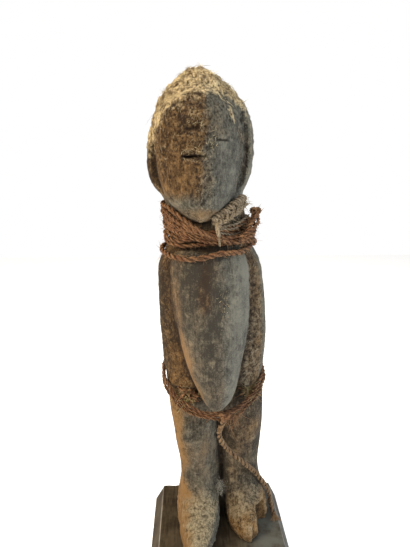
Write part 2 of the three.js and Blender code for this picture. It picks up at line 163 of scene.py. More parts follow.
def newPiece(name, mesh, material, nodes=(), marks=None):
    piece = bpy.data.objects.new(name, mesh)
    bpy.context.scene.collection.objects.link(piece)
    for mark, values in (marks or {}).items():
        kind, field = ("FLOAT", "value") if values.ndim == 1 else ("FLOAT_VECTOR", "vector")
        layer = mesh.attributes.new(mark, kind, "POINT")
        layer.data.foreach_set(field, values.astype(np.float32).ravel())
    mesh.materials.append(material)
    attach(piece, "root")
    if nodes:
        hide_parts(*nodes)
    return piece


# Shader wiring

class Wire:   # a socket's output, with sums and products as Math nodes
    def __init__(self, finish, socket):
        self.finish = finish
        self.socket = socket

    def maths(self, operation, first, second):
        return self.finish.node("ShaderNodeMath", {"operation": operation}, {0: first, 1: second})

    def __add__(self, other):
        return self.maths("ADD", self, other)

    def __radd__(self, other):
        return self.maths("ADD", other, self)

    def __sub__(self, other):
        return self.maths("SUBTRACT", self, other)

    def __rsub__(self, other):
        return self.maths("SUBTRACT", other, self)

    def __mul__(self, other):
        return self.maths("MULTIPLY", self, other)

    def __rmul__(self, other):
        return self.maths("MULTIPLY", other, self)


class Finish:   # a material or a world, and the nodes that make it
    def __init__(self, owner):
        self.owner = owner
        owner.use_nodes = True
        self.tree = owner.node_tree
        self.tree.nodes.clear()

    def node(self, kind, settings, values, output=0):
        made = self.tree.nodes.new(kind)
        for name, value in settings.items():
            setattr(made, name, value)
        sockets = {socket.identifier: socket for socket in made.inputs}
        for name, value in values.items():
            socket = sockets[name] if name in sockets else made.inputs[name]
            if isinstance(value, Wire):
                self.tree.links.new(value.socket, socket)
            elif socket.type == "RGBA":
                socket.default_value = (*value, 1)
            else:
                socket.default_value = value
        if not made.outputs:
            return None
        outputs = {socket.identifier: socket for socket in made.outputs}
        return Wire(self, outputs[output] if output in outputs else made.outputs[output])

    def place(self, scale=(1, 1, 1), turn=(0, 0, 0)):   # object coordinates, stretched and turned
        here = self.node("ShaderNodeTexCoord", {}, {}, "Object")
        return self.node("ShaderNodeMapping", {}, {"Vector": here, "Scale": scale, "Rotation": turn})

    def mark(self, name, output="Fac"):   # a number or a place stored on the mesh
        return self.node("ShaderNodeAttribute", {"attribute_name": name}, {}, output)

    def stretched(self, vector, scale):
        return self.node("ShaderNodeMapping", {}, {"Vector": vector, "Scale": scale})

    def noise(self, place, size, detail=3, rough=0.5, twist=0.0):   # size in mm
        return self.node("ShaderNodeTexNoise", {}, {
            "Vector": place, "Scale": 1 / (size * mm), "Detail": detail, "Roughness": rough, "Distortion": twist})

    def cells(self, place, size, feature="F1"):   # distance to the nearest point, in cells
        return self.node("ShaderNodeTexVoronoi", {"feature": feature}, {
            "Vector": place, "Scale": 1 / (size * mm)}, "Distance")

    def ramp(self, value, low, high, start=0.0, end=1.0):   # start below low, end above high
        return self.node("ShaderNodeMapRange", {"interpolation_type": "SMOOTHSTEP"}, {
            "Value": value, "From Min": low, "From Max": high, "To Min": start, "To Max": end})

    def blend(self, first, second, factor, how="MIX"):
        return self.node("ShaderNodeMix", {"data_type": "RGBA", "blend_type": how}, {
            "Factor_Float": factor, "A_Color": first, "B_Color": second}, "Result_Color")

    def bump(self, height, distance, strength=1.0):   # distance in mm
        return self.node("ShaderNodeBump", {}, {"Height": height, "Distance": distance * mm, "Strength": strength})

    def surface(self, values):
        shader = self.node("ShaderNodeBsdfPrincipled", {}, values)
        self.node("ShaderNodeOutputMaterial", {}, {"Surface": shader})
        return self.owner


# The camera stands a third of a metre before the figure, at its face's height, and looks down.

camera = {"place": (-27.3, -320, 341), "down": 13.0, "right": 2.3, "lens": 27.05, "sensor": 36.0}
view = bpy.data.objects.new("camera", bpy.data.cameras.new("camera"))
bpy.context.scene.collection.objects.link(view)
bpy.context.scene.camera = view
view.location = Vector(camera["place"]) * mm
view.rotation_euler = (math.radians(90 - camera["down"]), 0, -math.radians(camera["right"]))
view.data.lens = camera["lens"]
view.data.sensor_width = camera["sensor"]
view.data.clip_start = 0.01
print("camera placed")


# Carved forms. A row is one level section: its height, the X of its middle, half its width, the Y
# of its front, of its widest line and of its back, and how square it is, where 2 is an ellipse.

sections = {
    "log": [
        [168, -5.5, 42.0, -4, 18, 46, 2.8], [175, -5.9, 42.0, -4, 18, 46, 2.8],
        [182, -6.2, 43.2, -4, 18, 47, 2.8], [196, -6.2, 44.1, -4, 17, 48, 2.8],
        [212, -6.4, 44.9, -4, 17, 49, 2.8], [228, -7.2, 45.0, -4, 16, 50, 2.8],
        [246, -8.4, 44.3, -5, 16, 50, 2.8], [260, -9.4, 43.6, -6, 16, 49, 2.7],
        [270, -10.0, 42.8, -7, 15, 48, 2.6], [278, -10.2, 40.6, -9, 15, 46, 2.4],
        [284, -10.2, 37.2, -11, 15, 44, 2.3], [291, -10.4, 33.8, -12, 15, 42, 2.2],
        [302, -11.0, 31.6, -13, 15, 41, 2.2], [314, -12.8, 31.2, -13, 15, 42, 2.2],
        [324, -14.8, 31.3, -12, 16, 44, 2.2], [331, -16.6, 33.6, -8, 17, 47, 2.2],
        [338, -17.8, 38.0, -5, 18, 49, 2.2], [347, -18.0, 41.0, -4, 18, 51, 2.2],
        [358, -17.5, 41.9, -4, 18, 52, 2.2], [369, -17.2, 41.3, -5, 18, 52, 2.2],
        [380, -16.6, 39.2, -8, 17, 50, 2.2], [391, -16.8, 35.2, -10, 16, 47, 2.2],
        [401, -17.8, 28.8, -10, 15, 42, 2.2], [409, -18.6, 21.6, -6, 14, 36, 2.2],
        [415, -19.2, 14.6, -1, 13, 29, 2.1], [419.5, -20.0, 7.6, 5, 12, 20, 2.0],
    ],
    "face": [
        [310, -17.8, 5.0, -24, -8, 10, 2.0], [313, -17.9, 11.0, -27.5, -6, 14, 2.1],
        [318, -18.0, 17.6, -29.5, -3, 16, 2.2], [325, -18.2, 24.6, -31.0, 0, 18, 2.3],
        [334, -18.8, 28.0, -32.0, 2, 20, 2.3], [345, -19.3, 30.6, -32.5, 3, 20, 2.3],
        [357, -19.6, 31.6, -32.5, 3, 20, 2.3], [368, -20.2, 32.0, -32.5, 3, 20, 2.3],
        [378, -20.4, 31.0, -32.0, 3, 20, 2.2], [387, -20.6, 28.0, -29.0, 3, 20, 2.2],
        [395, -20.4, 23.0, -24.0, 4, 20, 2.1], [402, -20.2, 16.4, -17.0, 5, 20, 2.0],
        [407, -20.0, 9.0, -9.0, 6, 18, 2.0],
    ],
    "belly": [
        [156, -5.2, 4.4, -19.5, -12, -2, 2.0], [158, -5.2, 8.6, -22.5, -8, 8, 2.0],
        [162, -5.1, 12.4, -24.8, -2, 16, 2.1], [168, -5.1, 15.6, -26.8, 3, 20, 2.2],
        [175, -5.4, 18.6, -28.0, 5, 20, 2.2], [184, -6.4, 21.6, -28.6, 6, 20, 2.2],
        [196, -7.3, 24.4, -28.6, 6, 20, 2.2], [208, -7.8, 27.2, -28.2, 6, 20, 2.2],
        [221, -8.2, 29.4, -27.4, 6, 20, 2.2], [234, -8.7, 31.4, -26.4, 6, 20, 2.2],
        [248, -9.5, 32.6, -25.4, 6, 20, 2.2], [264, -10.2, 33.0, -24.6, 6, 20, 2.2],
        [276, -10.8, 32.6, -23.6, 6, 20, 2.2], [283, -11.0, 31.0, -21.6, 6, 20, 2.2],
        [287, -11.0, 28.4, -18.6, 6, 20, 2.2],
    ],
    "hips": [
        [132, -3.0, 30.0, 8, 26, 40, 2.4], [136, -3.2, 36.0, 4, 26, 45, 2.4],
        [146, -3.8, 39.5, 2, 26, 49, 2.5], [160, -4.4, 41.0, 2, 26, 51, 2.5],
        [174, -5.0, 41.0, 4, 26, 51, 2.6], [190, -5.6, 39.0, 8, 26, 47, 2.6],
    ],
    "leftLeg": [
        [24, -19.8, 19.2, -37, 22, 45, 1.75], [28, -19.8, 20.0, -42, 22, 47, 1.75],
        [36, -19.8, 20.0, -42, 22, 47, 1.75], [42, -19.6, 19.8, -36, 22, 47, 1.75],
        [47, -19.4, 19.5, -25, 22, 46, 1.8], [52, -19.0, 19.2, -11, 23, 46, 1.9],
        [58, -18.0, 19.3, -2, 24, 45, 2.1], [66, -17.6, 18.8, 4, 25, 44, 2.2],
        [78, -17.6, 19.1, 5, 25, 43, 2.2], [92, -18.8, 19.6, 3, 25, 43, 2.2],
        [108, -20.4, 20.4, 1, 24, 44, 2.2], [126, -22.0, 21.2, 0, 24, 45, 2.3],
        [146, -24.2, 21.4, 0, 24, 46, 2.4], [164, -24.8, 21.8, 2, 24, 46, 2.4],
        [182, -24.8, 20.0, 6, 24, 44, 2.4],
    ],
    "rightLeg": [
        [24, 25.4, 18.6, -17, 18, 45, 2.0], [29, 25.4, 19.8, -19, 18, 46, 2.0],
        [36, 25.2, 20.0, -16, 18, 46, 2.0], [43, 24.8, 19.8, -8, 19, 46, 2.0],
        [50, 24.0, 19.2, 0, 21, 46, 2.1], [57, 21.2, 19.6, 6, 25, 45, 2.2],
        [66, 19.8, 18.6, 8, 27, 44, 2.2], [78, 18.9, 18.4, 8, 27, 44, 2.2],
        [92, 18.9, 18.9, 6, 27, 44, 2.2], [108, 19.0, 19.7, 4, 26, 45, 2.2],
        [126, 19.0, 20.4, 2, 25, 45, 2.3], [146, 18.6, 20.2, 2, 24, 46, 2.4],
        [164, 17.4, 20.6, 4, 24, 46, 2.4], [182, 16.6, 19.0, 8, 24, 44, 2.4],
    ],
}


# Rows of a table at given heights: a cubic between neighbours, with each slope taken from the
# rows on both sides of it.
def rowsAt(table, heights):
    table = np.asarray(table, float)
    key = table[:, 0]
    z = np.clip(heights, key[0], key[-1])
    low = np.clip(np.searchsorted(key, z, side="right") - 1, 0, len(key) - 2)
    before = np.maximum(np.arange(len(key)) - 1, 0)
    after = np.minimum(np.arange(len(key)) + 1, len(key) - 1)
    slopes = (table[after] - table[before]) / (key[after] - key[before])[:, None]
    span = (key[low + 1] - key[low])[:, None]
    t = (z[:, None] - key[low][:, None]) / span
    rise = t * t * (3 - 2 * t)
    rows = (table[low] + (table[low + 1] - table[low]) * rise
            + t * (1 - t) ** 2 * span * slopes[low] - t * t * (1 - t) * span * slopes[low + 1])
    rows[:, 0] = z
    return rows


# Points of outlines, a rounded square about each section's middle and widest line: the sine and
# cosine of the angle are raised to 2 over the squareness, and growth moves the outline outwards.
def outline(rows, angles, growth=0.0):
    z, middle, half, front, wide, back, square = [column[:, None] for column in rows.T]
    growth = np.reshape(growth, (-1, 1))
    across = np.sign(np.cos(angles)) * np.abs(np.cos(angles)) ** (2 / square)
    along = np.sign(np.sin(angles)) * np.abs(np.sin(angles)) ** (2 / square)
    depth = np.where(along < 0, wide - front, back - wide)
    x = middle + (half + growth) * across
    y = wide + (depth + growth) * along
    return np.stack([x, y, np.broadcast_to(z, x.shape)], axis=-1)


# Paths and threads

# A smooth path through points: each stretch is a cubic whose slopes come from its neighbours and
# whose pace goes by the square root of the distances, walked in equal steps.
def smoothPath(rows, step, closed=False):
    rows = np.asarray(rows, float)
    if closed:
        padded = np.concatenate([rows[-1:], rows, rows[:2]])
    else:
        padded = np.concatenate([2 * rows[:1] - rows[1:2], rows, 2 * rows[-1:] - rows[-2:-1]])
    before, start, end, after = padded[:-3], padded[1:-2], padded[2:-1], padded[3:]
    first, middle, last = [np.linalg.norm(b - a, axis=1, keepdims=True) ** 0.5
                           for a, b in ((before, start), (start, end), (end, after))]
    leaving = ((start - before) / first - (end - before) / (first + middle) + (end - start) / middle) * middle
    arriving = ((end - start) / middle - (after - start) / (middle + last) + (after - end) / last) * middle
    t = np.linspace(0, 1, 30, endpoint=False)[None, :, None]
    start, end, leaving, arriving = [part[:, None] for part in (start, end, leaving, arriving)]
    curve = (start + (end - start) * t * t * (3 - 2 * t) + leaving * t * (1 - t) ** 2 - arriving * t * t * (1 - t))
    curve = np.concatenate([curve.reshape(-1, 3), rows[:1] if closed else rows[-1:]])
    reached = np.concatenate([[0], np.cumsum(np.linalg.norm(np.diff(curve, axis=0), axis=1))])
    count = int(np.ceil(reached[-1] / step))
    walk = np.linspace(0, reached[-1], count + 1)[:count if closed else count + 1]
    return np.stack([np.interp(walk, reached, axis) for axis in curve.T], axis=1)


# How far along each point of a path lies, and its whole length.
def lengthAlong(path, closed=False):
    steps = np.linalg.norm(np.diff(path, axis=0), axis=1)
    total = steps.sum() + (np.linalg.norm(path[0] - path[-1]) if closed else 0)
    return np.concatenate([[0], np.cumsum(steps)]), total


# Two directions across a path: one level with it, at right angles to a reference, and one up.
def acrossPath(path, reference, closed=False):
    ahead = np.roll(path, -1, 0) - np.roll(path, 1, 0) if closed else np.gradient(path, axis=0)
    ahead = unit(ahead)
    side = unit(np.cross(reference, ahead))
    return side, np.cross(ahead, side)


class Threads:   # gathers the strands and loose fibres of one piece, with the marks its finish reads
    def __init__(self):
        self.surfaces = []
        self.strand = []   # for each point its place round and along its strand, in metres
        self.loose = []    # 1 on a loose fibre
        # The list on the next line holds painted shade: darker colour where a strand lies against its neighbour.
        self.plyShade = []     # 1 where a strand lies against its neighbour

    def add(self, grids, along, around, loose, closedRows=False, plyShade=0.0):
        self.surfaces.append(tubes(grids, closedRows))
        shift = dice.uniform(0, 400, (len(grids), 1, 1))
        marks = np.broadcast_arrays(np.cos(around), np.sin(around), along + shift)
        self.strand.append(np.stack(marks, axis=-1).reshape(-1, 3) * mm)
        self.loose.append(np.full(grids[..., 0].size, float(loose)))
        self.plyShade.append(np.broadcast_to(plyShade, grids.shape[:-1]).ravel())

    def piece(self, name, material, slot, nodes=()):
        marks = {"strand": np.concatenate(self.strand), "loose": np.concatenate(self.loose),
                 "plyShade": np.concatenate(self.plyShade)}
        return newPiece(name, newMesh(name, joined(self.surfaces)), material, nodes, marks)


# Smooth noise along a path, fading out at the seam of a closed one.
def noiseAlong(along, total, size, closed):
    noise = layeredNoise(np.stack([along, 0 * along, 0 * along], axis=1), size, 2, int(dice.integers(1000)))
    return noise * (np.minimum(1, np.minimum(along, total - along) / size) if closed else 1)


# A strand: rings about a path, with ridges that turn as they go and a thickness that wanders. It
# gets painted shade between its ridges, and near the core of a cord that it is a ply of.
def addStrand(threads, path, radius, reference, closed=False, sides=12, ridges=5, ridgePitch=-9.0, rough=0.09,
              core=None, coreRadius=1.0):
    along, total = lengthAlong(path, closed)
    side, up = acrossPath(path, reference, closed)
    around = np.arange(sides) / sides * 2 * np.pi
    turns = np.round(total / ridgePitch) if closed else total / ridgePitch
    turned = around + 2 * np.pi * turns * along[:, None] / total
    ring = np.stack(np.broadcast_arrays(np.cos(around)[None], np.sin(around)[None], 0.35 * along[:, None]), axis=-1)
    lumps = layeredNoise(ring.reshape(-1, 3), 1.0, 2, int(dice.integers(1000))).reshape(turned.shape)
    if closed:
        lumps *= np.minimum(1, np.minimum(along, total - along) / 6)[:, None]
    uneven = 1 + rough * (np.cos(ridges * turned) + lumps + 1.2 * noiseAlong(along, total, 8.0, closed)[:, None])
    reach = (np.reshape(radius, (-1, 1)) * uneven)[..., None]
    grid = path[:, None] + reach * (np.cos(around)[None, :, None] * side[:, None]
                                    + np.sin(around)[None, :, None] * up[:, None])
    plyShade = 0.6 * smoothStep(-np.cos(ridges * turned), 0.1, 0.9)
    if core is not None:
        plyShade += 1 - smoothStep(np.linalg.norm(grid - core[:, None], axis=-1) / coreRadius, 0.55, 0.92)
    threads.add(grid[None], along[None, :, None], turned[None], 0, closed, np.clip(plyShade, 0, 1))


# A laid cord: each ply's middle goes round the path on a helix, its ridges turning the other way,
# and the whole cord wanders a little to either side.
def addCord(threads, path, thickness, plies, pitch, reference, closed=False, sides=12, wander=0.0, rough=0.09):
    along, total = lengthAlong(path, closed)
    side, up = acrossPath(path, reference, closed)
    if wander:
        path = (path + wander * side * noiseAlong(along, total, 16.0, closed)[:, None]
                + wander * up * noiseAlong(along, total, 13.0, closed)[:, None])
    radius = thickness * {1: 0.5, 2: 0.27, 3: 0.25}[plies]
    turns = np.round(total / pitch) if closed else total / pitch
    start = dice.uniform(0, 2 * np.pi) + 1.1 * noiseAlong(along, total, 12.0, closed)
    for ply in range(plies):
        angle = (start + 2 * np.pi * (turns * along / total + ply / plies))[:, None]
        middle = path + (thickness / 2 - radius) * (np.cos(angle) * side + np.sin(angle) * up)
        addStrand(threads, middle, radius, reference, closed, sides, rough=rough, core=path,
                  coreRadius=thickness / 2)


# Loose fibres: each leaves its start along its direction, bends by the square of the way it has
# gone, and tapers. Its section is a triangle, or a flat lozenge for a ribbon.
def addFibres(threads, starts, directions, bends, lengths, thickness, rings=6, flat=1.0, taper=0.8, loose=1.0):
    t = np.linspace(0, 1, rings)[None, :, None]
    reach = lengths[:, None, None]
    middle = starts[:, None] + reach * (directions[:, None] * t + bends[:, None] * t * t)
    ahead = unit(np.gradient(middle, axis=1))
    side = unit(np.cross(ahead, unit(dice.normal(size=starts.shape))[:, None]))
    up = np.cross(ahead, side)
    corners = 3 if flat == 1.0 else 4
    around = np.arange(corners) / corners * 2 * np.pi
    radius = (np.reshape(thickness, (-1, 1, 1)) / 2 * (1 - taper * t * t))[..., None]
    turn = around[None, None, :, None]
    grid = middle[:, :, None] + radius * (np.cos(turn) * side[:, :, None] + flat * np.sin(turn) * up[:, :, None])
    threads.add(grid, reach * t, np.broadcast_to(around, (1, 1, corners)), loose)


# Fuzz: fibres that stand off a cord, leaning along it either way.
def addFuzz(threads, path, reference, thickness, count, length, closed=False, lift=0.7, fine=0.28, fall=0.25, curl=0.4):
    side, up = acrossPath(path, reference, closed)
    ahead = np.cross(side, up)
    spots = dice.integers(0, len(path), count)
    angle = dice.uniform(0, 2 * np.pi, (count, 1))
    outward = np.cos(angle) * side[spots] + np.sin(angle) * up[spots]
    sense = dice.choice([-1.0, 1.0], (count, 1))
    directions = unit(ahead[spots] * sense + lift * outward + 0.35 * dice.normal(size=(count, 3)))
    bends = curl * dice.normal(size=(count, 3)) - np.array([0, 0, fall])
    starts = path[spots] + outward * thickness * 0.40
    addFibres(threads, starts, directions, bends, length * dice.uniform(0.3, 1.0, count) ** 1.5,
              fine * dice.uniform(0.6, 1.3, count))


# Points of a winding about the log, or one that passes over to the top of the chest in front.
def woundAbout(winding, halfThickness, closed=False, onChest=False, perTurn=200, gap=0.4):
    winding = np.asarray(winding, float)
    turns = winding[-1, 0] - winding[0, 0]
    count = int(np.ceil(turns * perTurn))
    place = winding[0, 0] + turns * np.arange(count if closed else count + 1) / count
    padded = np.pad(winding, ((0, 0), (0, 4)))
    _, z, off = rowsAt(padded, place).T[:3]
    angle = (np.pi * (1 + 2 * place))[:, None]
    reach = halfThickness + gap + off
    onLog = outline(rowsAt(sections["log"], z), angle, reach)[:, 0]
    if not onChest:
        return onLog
    onBelly = outline(rowsAt(sections["belly"], z), angle, reach)[:, 0]
    return onLog + (onBelly - onLog) * smoothStep(-np.sin(angle), 0.15, 0.7)


# Cord finish: fibres run along each strand in streaks of two tones, with painted shade in the grooves
# between them and where plies touch, dust that lies on top, and loose fibres paler than the rest.
def cordFinish(name, colours, dust=0.35):
    cord = Finish(bpy.data.materials.new(name))
    strand = cord.mark("strand", "Vector")
    streaks = cord.noise(cord.stretched(strand, (1, 1, 0.12)), 0.45, 3, 0.6)
    lengthwise = cord.noise(cord.stretched(strand, (0.2, 0.2, 1)), 14, 3, 0.6)
    grit = cord.noise(cord.place(), 1.2, 4, 0.7)
    body = cord.blend(colours["dark"], colours["light"], cord.ramp(streaks, 0.34, 0.60))
    body = cord.blend(body, colours["other"], cord.ramp(lengthwise, 0.42, 0.60) * 0.85)
    body = cord.blend(body, colours["dust"], cord.ramp(grit, 0.50, 0.68) * dust)
    # Painted shade in the grooves between ridges and where plies touch.
    body = cord.blend(body, colours["plyShadeColour"], cord.mark("plyShade") * 0.8)
    body = cord.blend(body, colours["fibre"], cord.mark("loose") * 0.85)
    normal = cord.bump(streaks + 0.5 * grit, 0.35, 0.8)
    return cord.surface({"Base Color": body, "Roughness": cord.ramp(streaks, 0.3, 0.7, 0.95, 0.75),
                         "Normal": normal, "Specular IOR Level": 0.25})


brownCord = cordFinish("brown_cord", {
    "dark": (0.050, 0.021, 0.010), "light": (0.280, 0.145, 0.066), "other": (0.120, 0.045, 0.020),
    "dust": (0.370, 0.255, 0.145), "fibre": (0.300, 0.170, 0.084), "plyShadeColour": (0.020, 0.009, 0.005)})
tailCord = cordFinish("brown_cord_tail", {
    "dark": (0.050, 0.030, 0.016), "light": (0.260, 0.165, 0.090), "other": (0.140, 0.082, 0.042),
    "dust": (0.400, 0.310, 0.200), "fibre": (0.340, 0.230, 0.125), "plyShadeColour": (0.022, 0.013, 0.007)}, 0.5)
greyCord = cordFinish("grey_cord", {
    "dark": (0.080, 0.058, 0.036), "light": (0.340, 0.265, 0.180), "other": (0.200, 0.150, 0.092),
    "dust": (0.450, 0.380, 0.280), "fibre": (0.380, 0.300, 0.195), "plyShadeColour": (0.040, 0.028, 0.017)}, 0.6)

# The free tail of the hip cord hangs between the shins and lies across the right one to the stand.
tailRoute = [
    [0.2, -14.8, 143.2], [-1.3, -12.6, 137.6], [-2.3, -9.2, 131.8], [-2.3, -6.4, 125.6], [-0.8, -4.8, 119.4],
    [2.4, -3.8, 113.4], [6.6, -2.8, 107.4], [11.6, -1.8, 101.6], [17.0, -0.4, 95.6], [22.4, 1.8, 89.4],
    [27.4, 4.8, 83], [32.0, 8.6, 76], [36.2, 11.6, 68.6], [40.6, 13.8, 61], [44.8, 15.4, 53.4],
    [47.8, 17.0, 45.6], [49.4, 18.0, 38], [50.4, 17.8, 31.6], [51.2, 16.2, 27.8], [51.9, 13.0, 26.6],
    [52.4, 9.4, 26.5],
]
tail = {"thickness": 4.5, "plies": 2, "pitch": 10.5, "fuzz": 340, "fuzzLength": 1.9, "reference": (0.8, 0, 0.6),
        "fray": 70, "frayLength": 9.0}
tailPath = smoothPath(tailRoute, 0.7)
tailLength = lengthAlong(tailPath)[1]
threads = Threads()
addCord(threads, tailPath, tail["thickness"], tail["plies"], tail["pitch"], tail["reference"])
addFuzz(threads, tailPath, tail["reference"], tail["thickness"], tail["fuzz"], tail["fuzzLength"],
        fall=0, curl=0.12)
tailPiece = threads.piece("hip_cord_loose_tail", tailCord, "brown_cord", ["hip_cord_tail"])

# Its end is untwisted: two brushes of fibres that lie on the stand.
fray = Threads()
brush = np.repeat([[[0.55, -0.8, -0.02]], [[-0.35, -0.9, 0.0]]], tail["fray"] // 2, axis=0)[:, 0]
brush = unit(brush + np.array([0.16, 0.16, 0.05]) * dice.normal(size=(len(brush), 3)))
addFibres(fray, tailPath[-1] + 0.9 * dice.normal(size=(len(brush), 3)) * [1, 0.5, 0.6], brush,
          dice.normal(size=(len(brush), 3)) * [0.16, 0.16, 0.02] - [0, 0, 0.04],
          tail["frayLength"] * dice.uniform(0.4, 1.0, len(brush)), 0.45, loose=0.5)
frayPiece = fray.piece("hip_cord_tail_fray", tailCord, "brown_cord")
print("loose tail laid:", round(tailLength, 1), "mm")

# The neck cord: one long winding that draws together in front, and an end that stands up at the
# right. Each row is a turn, from the lowest, and each column a place about the neck, which is
# counted in turns from the left by way of the front.
neck = {
    "thickness": 3.3, "plies": 2, "pitch": 13, "wander": 0.9, "fuzz": 1100, "fuzzLength": 5.5,
    "places": [0.00, 0.10, 0.18, 0.24, 0.31, 0.40, 0.60, 0.80],
    "heights": [
        [295.5, 292.0, 292.0, 294.0, 293.0, 294.4, 294.8, 295.0],
        [299.3, 296.0, 296.2, 298.0, 296.2, 297.4, 298.4, 298.6],
        [302.6, 298.8, 298.4, 301.4, 300.6, 301.4, 302.0, 302.6],
        [306.6, 302.8, 302.0, 300.8, 303.2, 304.6, 305.4, 306.4],
        [311.6, 307.8, 304.6, 301.6, 304.8, 308.6, 309.2, 310.4],
        [316.4, 312.0, 305.8, 300.4, 298.8, 303.0, 312.0, 315.0],
        [321.0, 319.6, 310.6, 302.0, 296.0, 293.4, 292.6, 292.4],
    ],
    "standOff": [
        [0.1, 0.2, 0.4, 0.6, 0.4, 0.2, 0.1, 0.1],
        [0.6, 1.2, 1.6, 2.0, 0.8, 0.3, 0.1, 0.1],
        [0.2, 0.3, 1.0, 2.4, 1.6, 0.5, 0.1, 0.1],
        [0.7, 1.4, 2.4, 4.0, 2.6, 0.8, 0.2, 0.1],
        [0.4, 0.6, 2.2, 4.8, 3.6, 1.2, 0.3, 0.2],
        [0.7, 2.0, 3.6, 6.0, 4.8, 2.6, 0.5, 0.3],
        [0.6, 1.4, 4.6, 7.2, 5.0, 2.8, 2.0, 2.0],
    ],
    "stub": [[11, -21.5, 297.6], [17, -18.6, 301.2], [21.4, -13, 306.6], [23.4, -6.5, 311.6], [24.8, 0, 316.0]],
    "stubStrands": 4, "stubThickness": 2.9, "stubSpread": 2.1, "knotSize": 1.15,
}
up = (0, 0, 1)
threads = Threads()
turns = len(neck["heights"])
winding = np.stack([(np.arange(turns)[:, None] + neck["places"]).ravel(),
                    np.ravel(neck["heights"]), np.ravel(neck["standOff"])], axis=1)
windingPath = woundAbout(winding, neck["thickness"] / 2)
addCord(threads, windingPath, neck["thickness"], neck["plies"], neck["pitch"], up, wander=neck["wander"], rough=0.14)
addFuzz(threads, windingPath, up, neck["thickness"], neck["fuzz"], neck["fuzzLength"])


# A trefoil knot about a middle.
def trefoil(middle, size):
    t = np.linspace(0, 2 * np.pi, 120, endpoint=False)
    return np.array(middle) + size * np.stack(
        [np.sin(t) + 2 * np.sin(2 * t), -0.8 * np.sin(3 * t), np.cos(t) - 2 * np.cos(2 * t)], axis=1)


stubPath = smoothPath(neck["stub"], 0.7)
side, rise = acrossPath(stubPath, up)
swing = np.linspace(0, 1, len(stubPath))[:, None]
for number in range(neck["stubStrands"]):
    turn = 2 * np.pi * number / neck["stubStrands"] + 2.4 * swing
    spread = neck["stubSpread"] * (0.35 + np.sin(np.pi * swing))
    strandPath = stubPath + spread * (np.cos(turn) * side + np.sin(turn) * rise)
    addCord(threads, strandPath, neck["stubThickness"], 2, 8, up, wander=0.5, rough=0.16)
addStrand(threads, trefoil(stubPath[-1], neck["knotSize"]), 1.35, (0.1, 1, 0.1), closed=True, sides=10,
          ridgePitch=-5.0, rough=0.16)
addFuzz(threads, stubPath, up, 5, 160, 5)
stubEnd = stubPath[-1] + [1.6, 1.4, 1.2] * dice.normal(size=(70, 3))
addFibres(threads, stubEnd, unit(np.array([0.2, 0.2, 0.8]) + 0.7 * dice.normal(size=(70, 3))),
          0.5 * dice.normal(size=(70, 3)), dice.uniform(1.0, 3.0, 70), 0.6, loose=0.6)

# Strands that have worked loose from the winding, each along its own rows of place, height and
# stand-off.
strays = [
    [[-0.06, 317.5, 1.6], [0.05, 313.0, 2.4], [0.13, 306.5, 3.4], [0.20, 303.2, 5.6], [0.27, 299.4, 7.6],
     [0.36, 299.8, 5.0], [0.48, 301.5, 3.2]],
    [[-0.08, 308.0, 1.8], [0.04, 309.5, 2.4], [0.12, 302.5, 2.6], [0.20, 299.8, 4.8], [0.28, 297.0, 6.4],
     [0.38, 296.4, 3.6], [0.50, 296.8, 2.2]],
    [[-0.05, 300.5, 1.8], [0.06, 304.0, 2.2], [0.14, 300.8, 2.8], [0.21, 296.4, 4.4], [0.27, 294.4, 4.6],
     [0.34, 295.6, 3.2]],
    [[0.02, 320.5, 2.0], [0.09, 315.6, 3.2], [0.14, 310.2, 4.2], [0.19, 306.8, 5.6], [0.23, 304.6, 7.0]],
    [[-0.10, 321.0, 0.6], [0.02, 322.6, 1.0], [0.09, 320.2, 2.4], [0.13, 316.8, 3.6], [0.16, 313.0, 4.6],
     [0.20, 307.4, 6.2], [0.235, 301.4, 7.4], [0.262, 296.8, 7.0]],
    [[-0.04, 310.0, 1.0], [0.05, 306.4, 2.8], [0.12, 303.6, 3.2], [0.18, 304.6, 5.0], [0.23, 301.2, 6.6],
     [0.27, 297.6, 7.2], [0.31, 293.6, 5.6]],
]
for rows in strays:
    strayPath = woundAbout(rows, 1.0)
    addCord(threads, strayPath, 2.7, 2, 9, up, sides=10, wander=0.5, rough=0.14)
    addFuzz(threads, strayPath, up, 2.7, 40, 4.5)
threads.piece("neck_cord_wound", brownCord, "brown_cord", ["neck_cord"])

# The collar: a cord lower down, on the edge of the chest.
collar = {
    "thickness": 4.2, "plies": 2, "pitch": 13, "wander": 0.4, "fuzz": 300, "fuzzLength": 6.0,
    "winding": [
        [0.00, 286.4, 0.2], [0.08, 283.8, 0.4], [0.17, 283.2, 0.6], [0.225, 284.4, 1.0], [0.256, 285.6, 1.4],
        [0.285, 287.2, 1.8], [0.32, 288.6, 1.8], [0.36, 289.4, 1.2], [0.42, 290.4, 0.6], [0.50, 291.0, 0.3],
        [0.75, 289.4, 0.2], [1.00, 286.4, 0.2],
    ],
}
threads = Threads()
collarPath = woundAbout(collar["winding"], collar["thickness"] / 2, closed=True, onChest=True)
addCord(threads, collarPath, collar["thickness"], collar["plies"], collar["pitch"], up, closed=True,
        wander=collar["wander"], rough=0.12)
addFuzz(threads, collarPath, up, collar["thickness"], collar["fuzz"], collar["fuzzLength"], closed=True)
threads.piece("collar_cord_laid", brownCord, "brown_cord", ["collar_cord"])

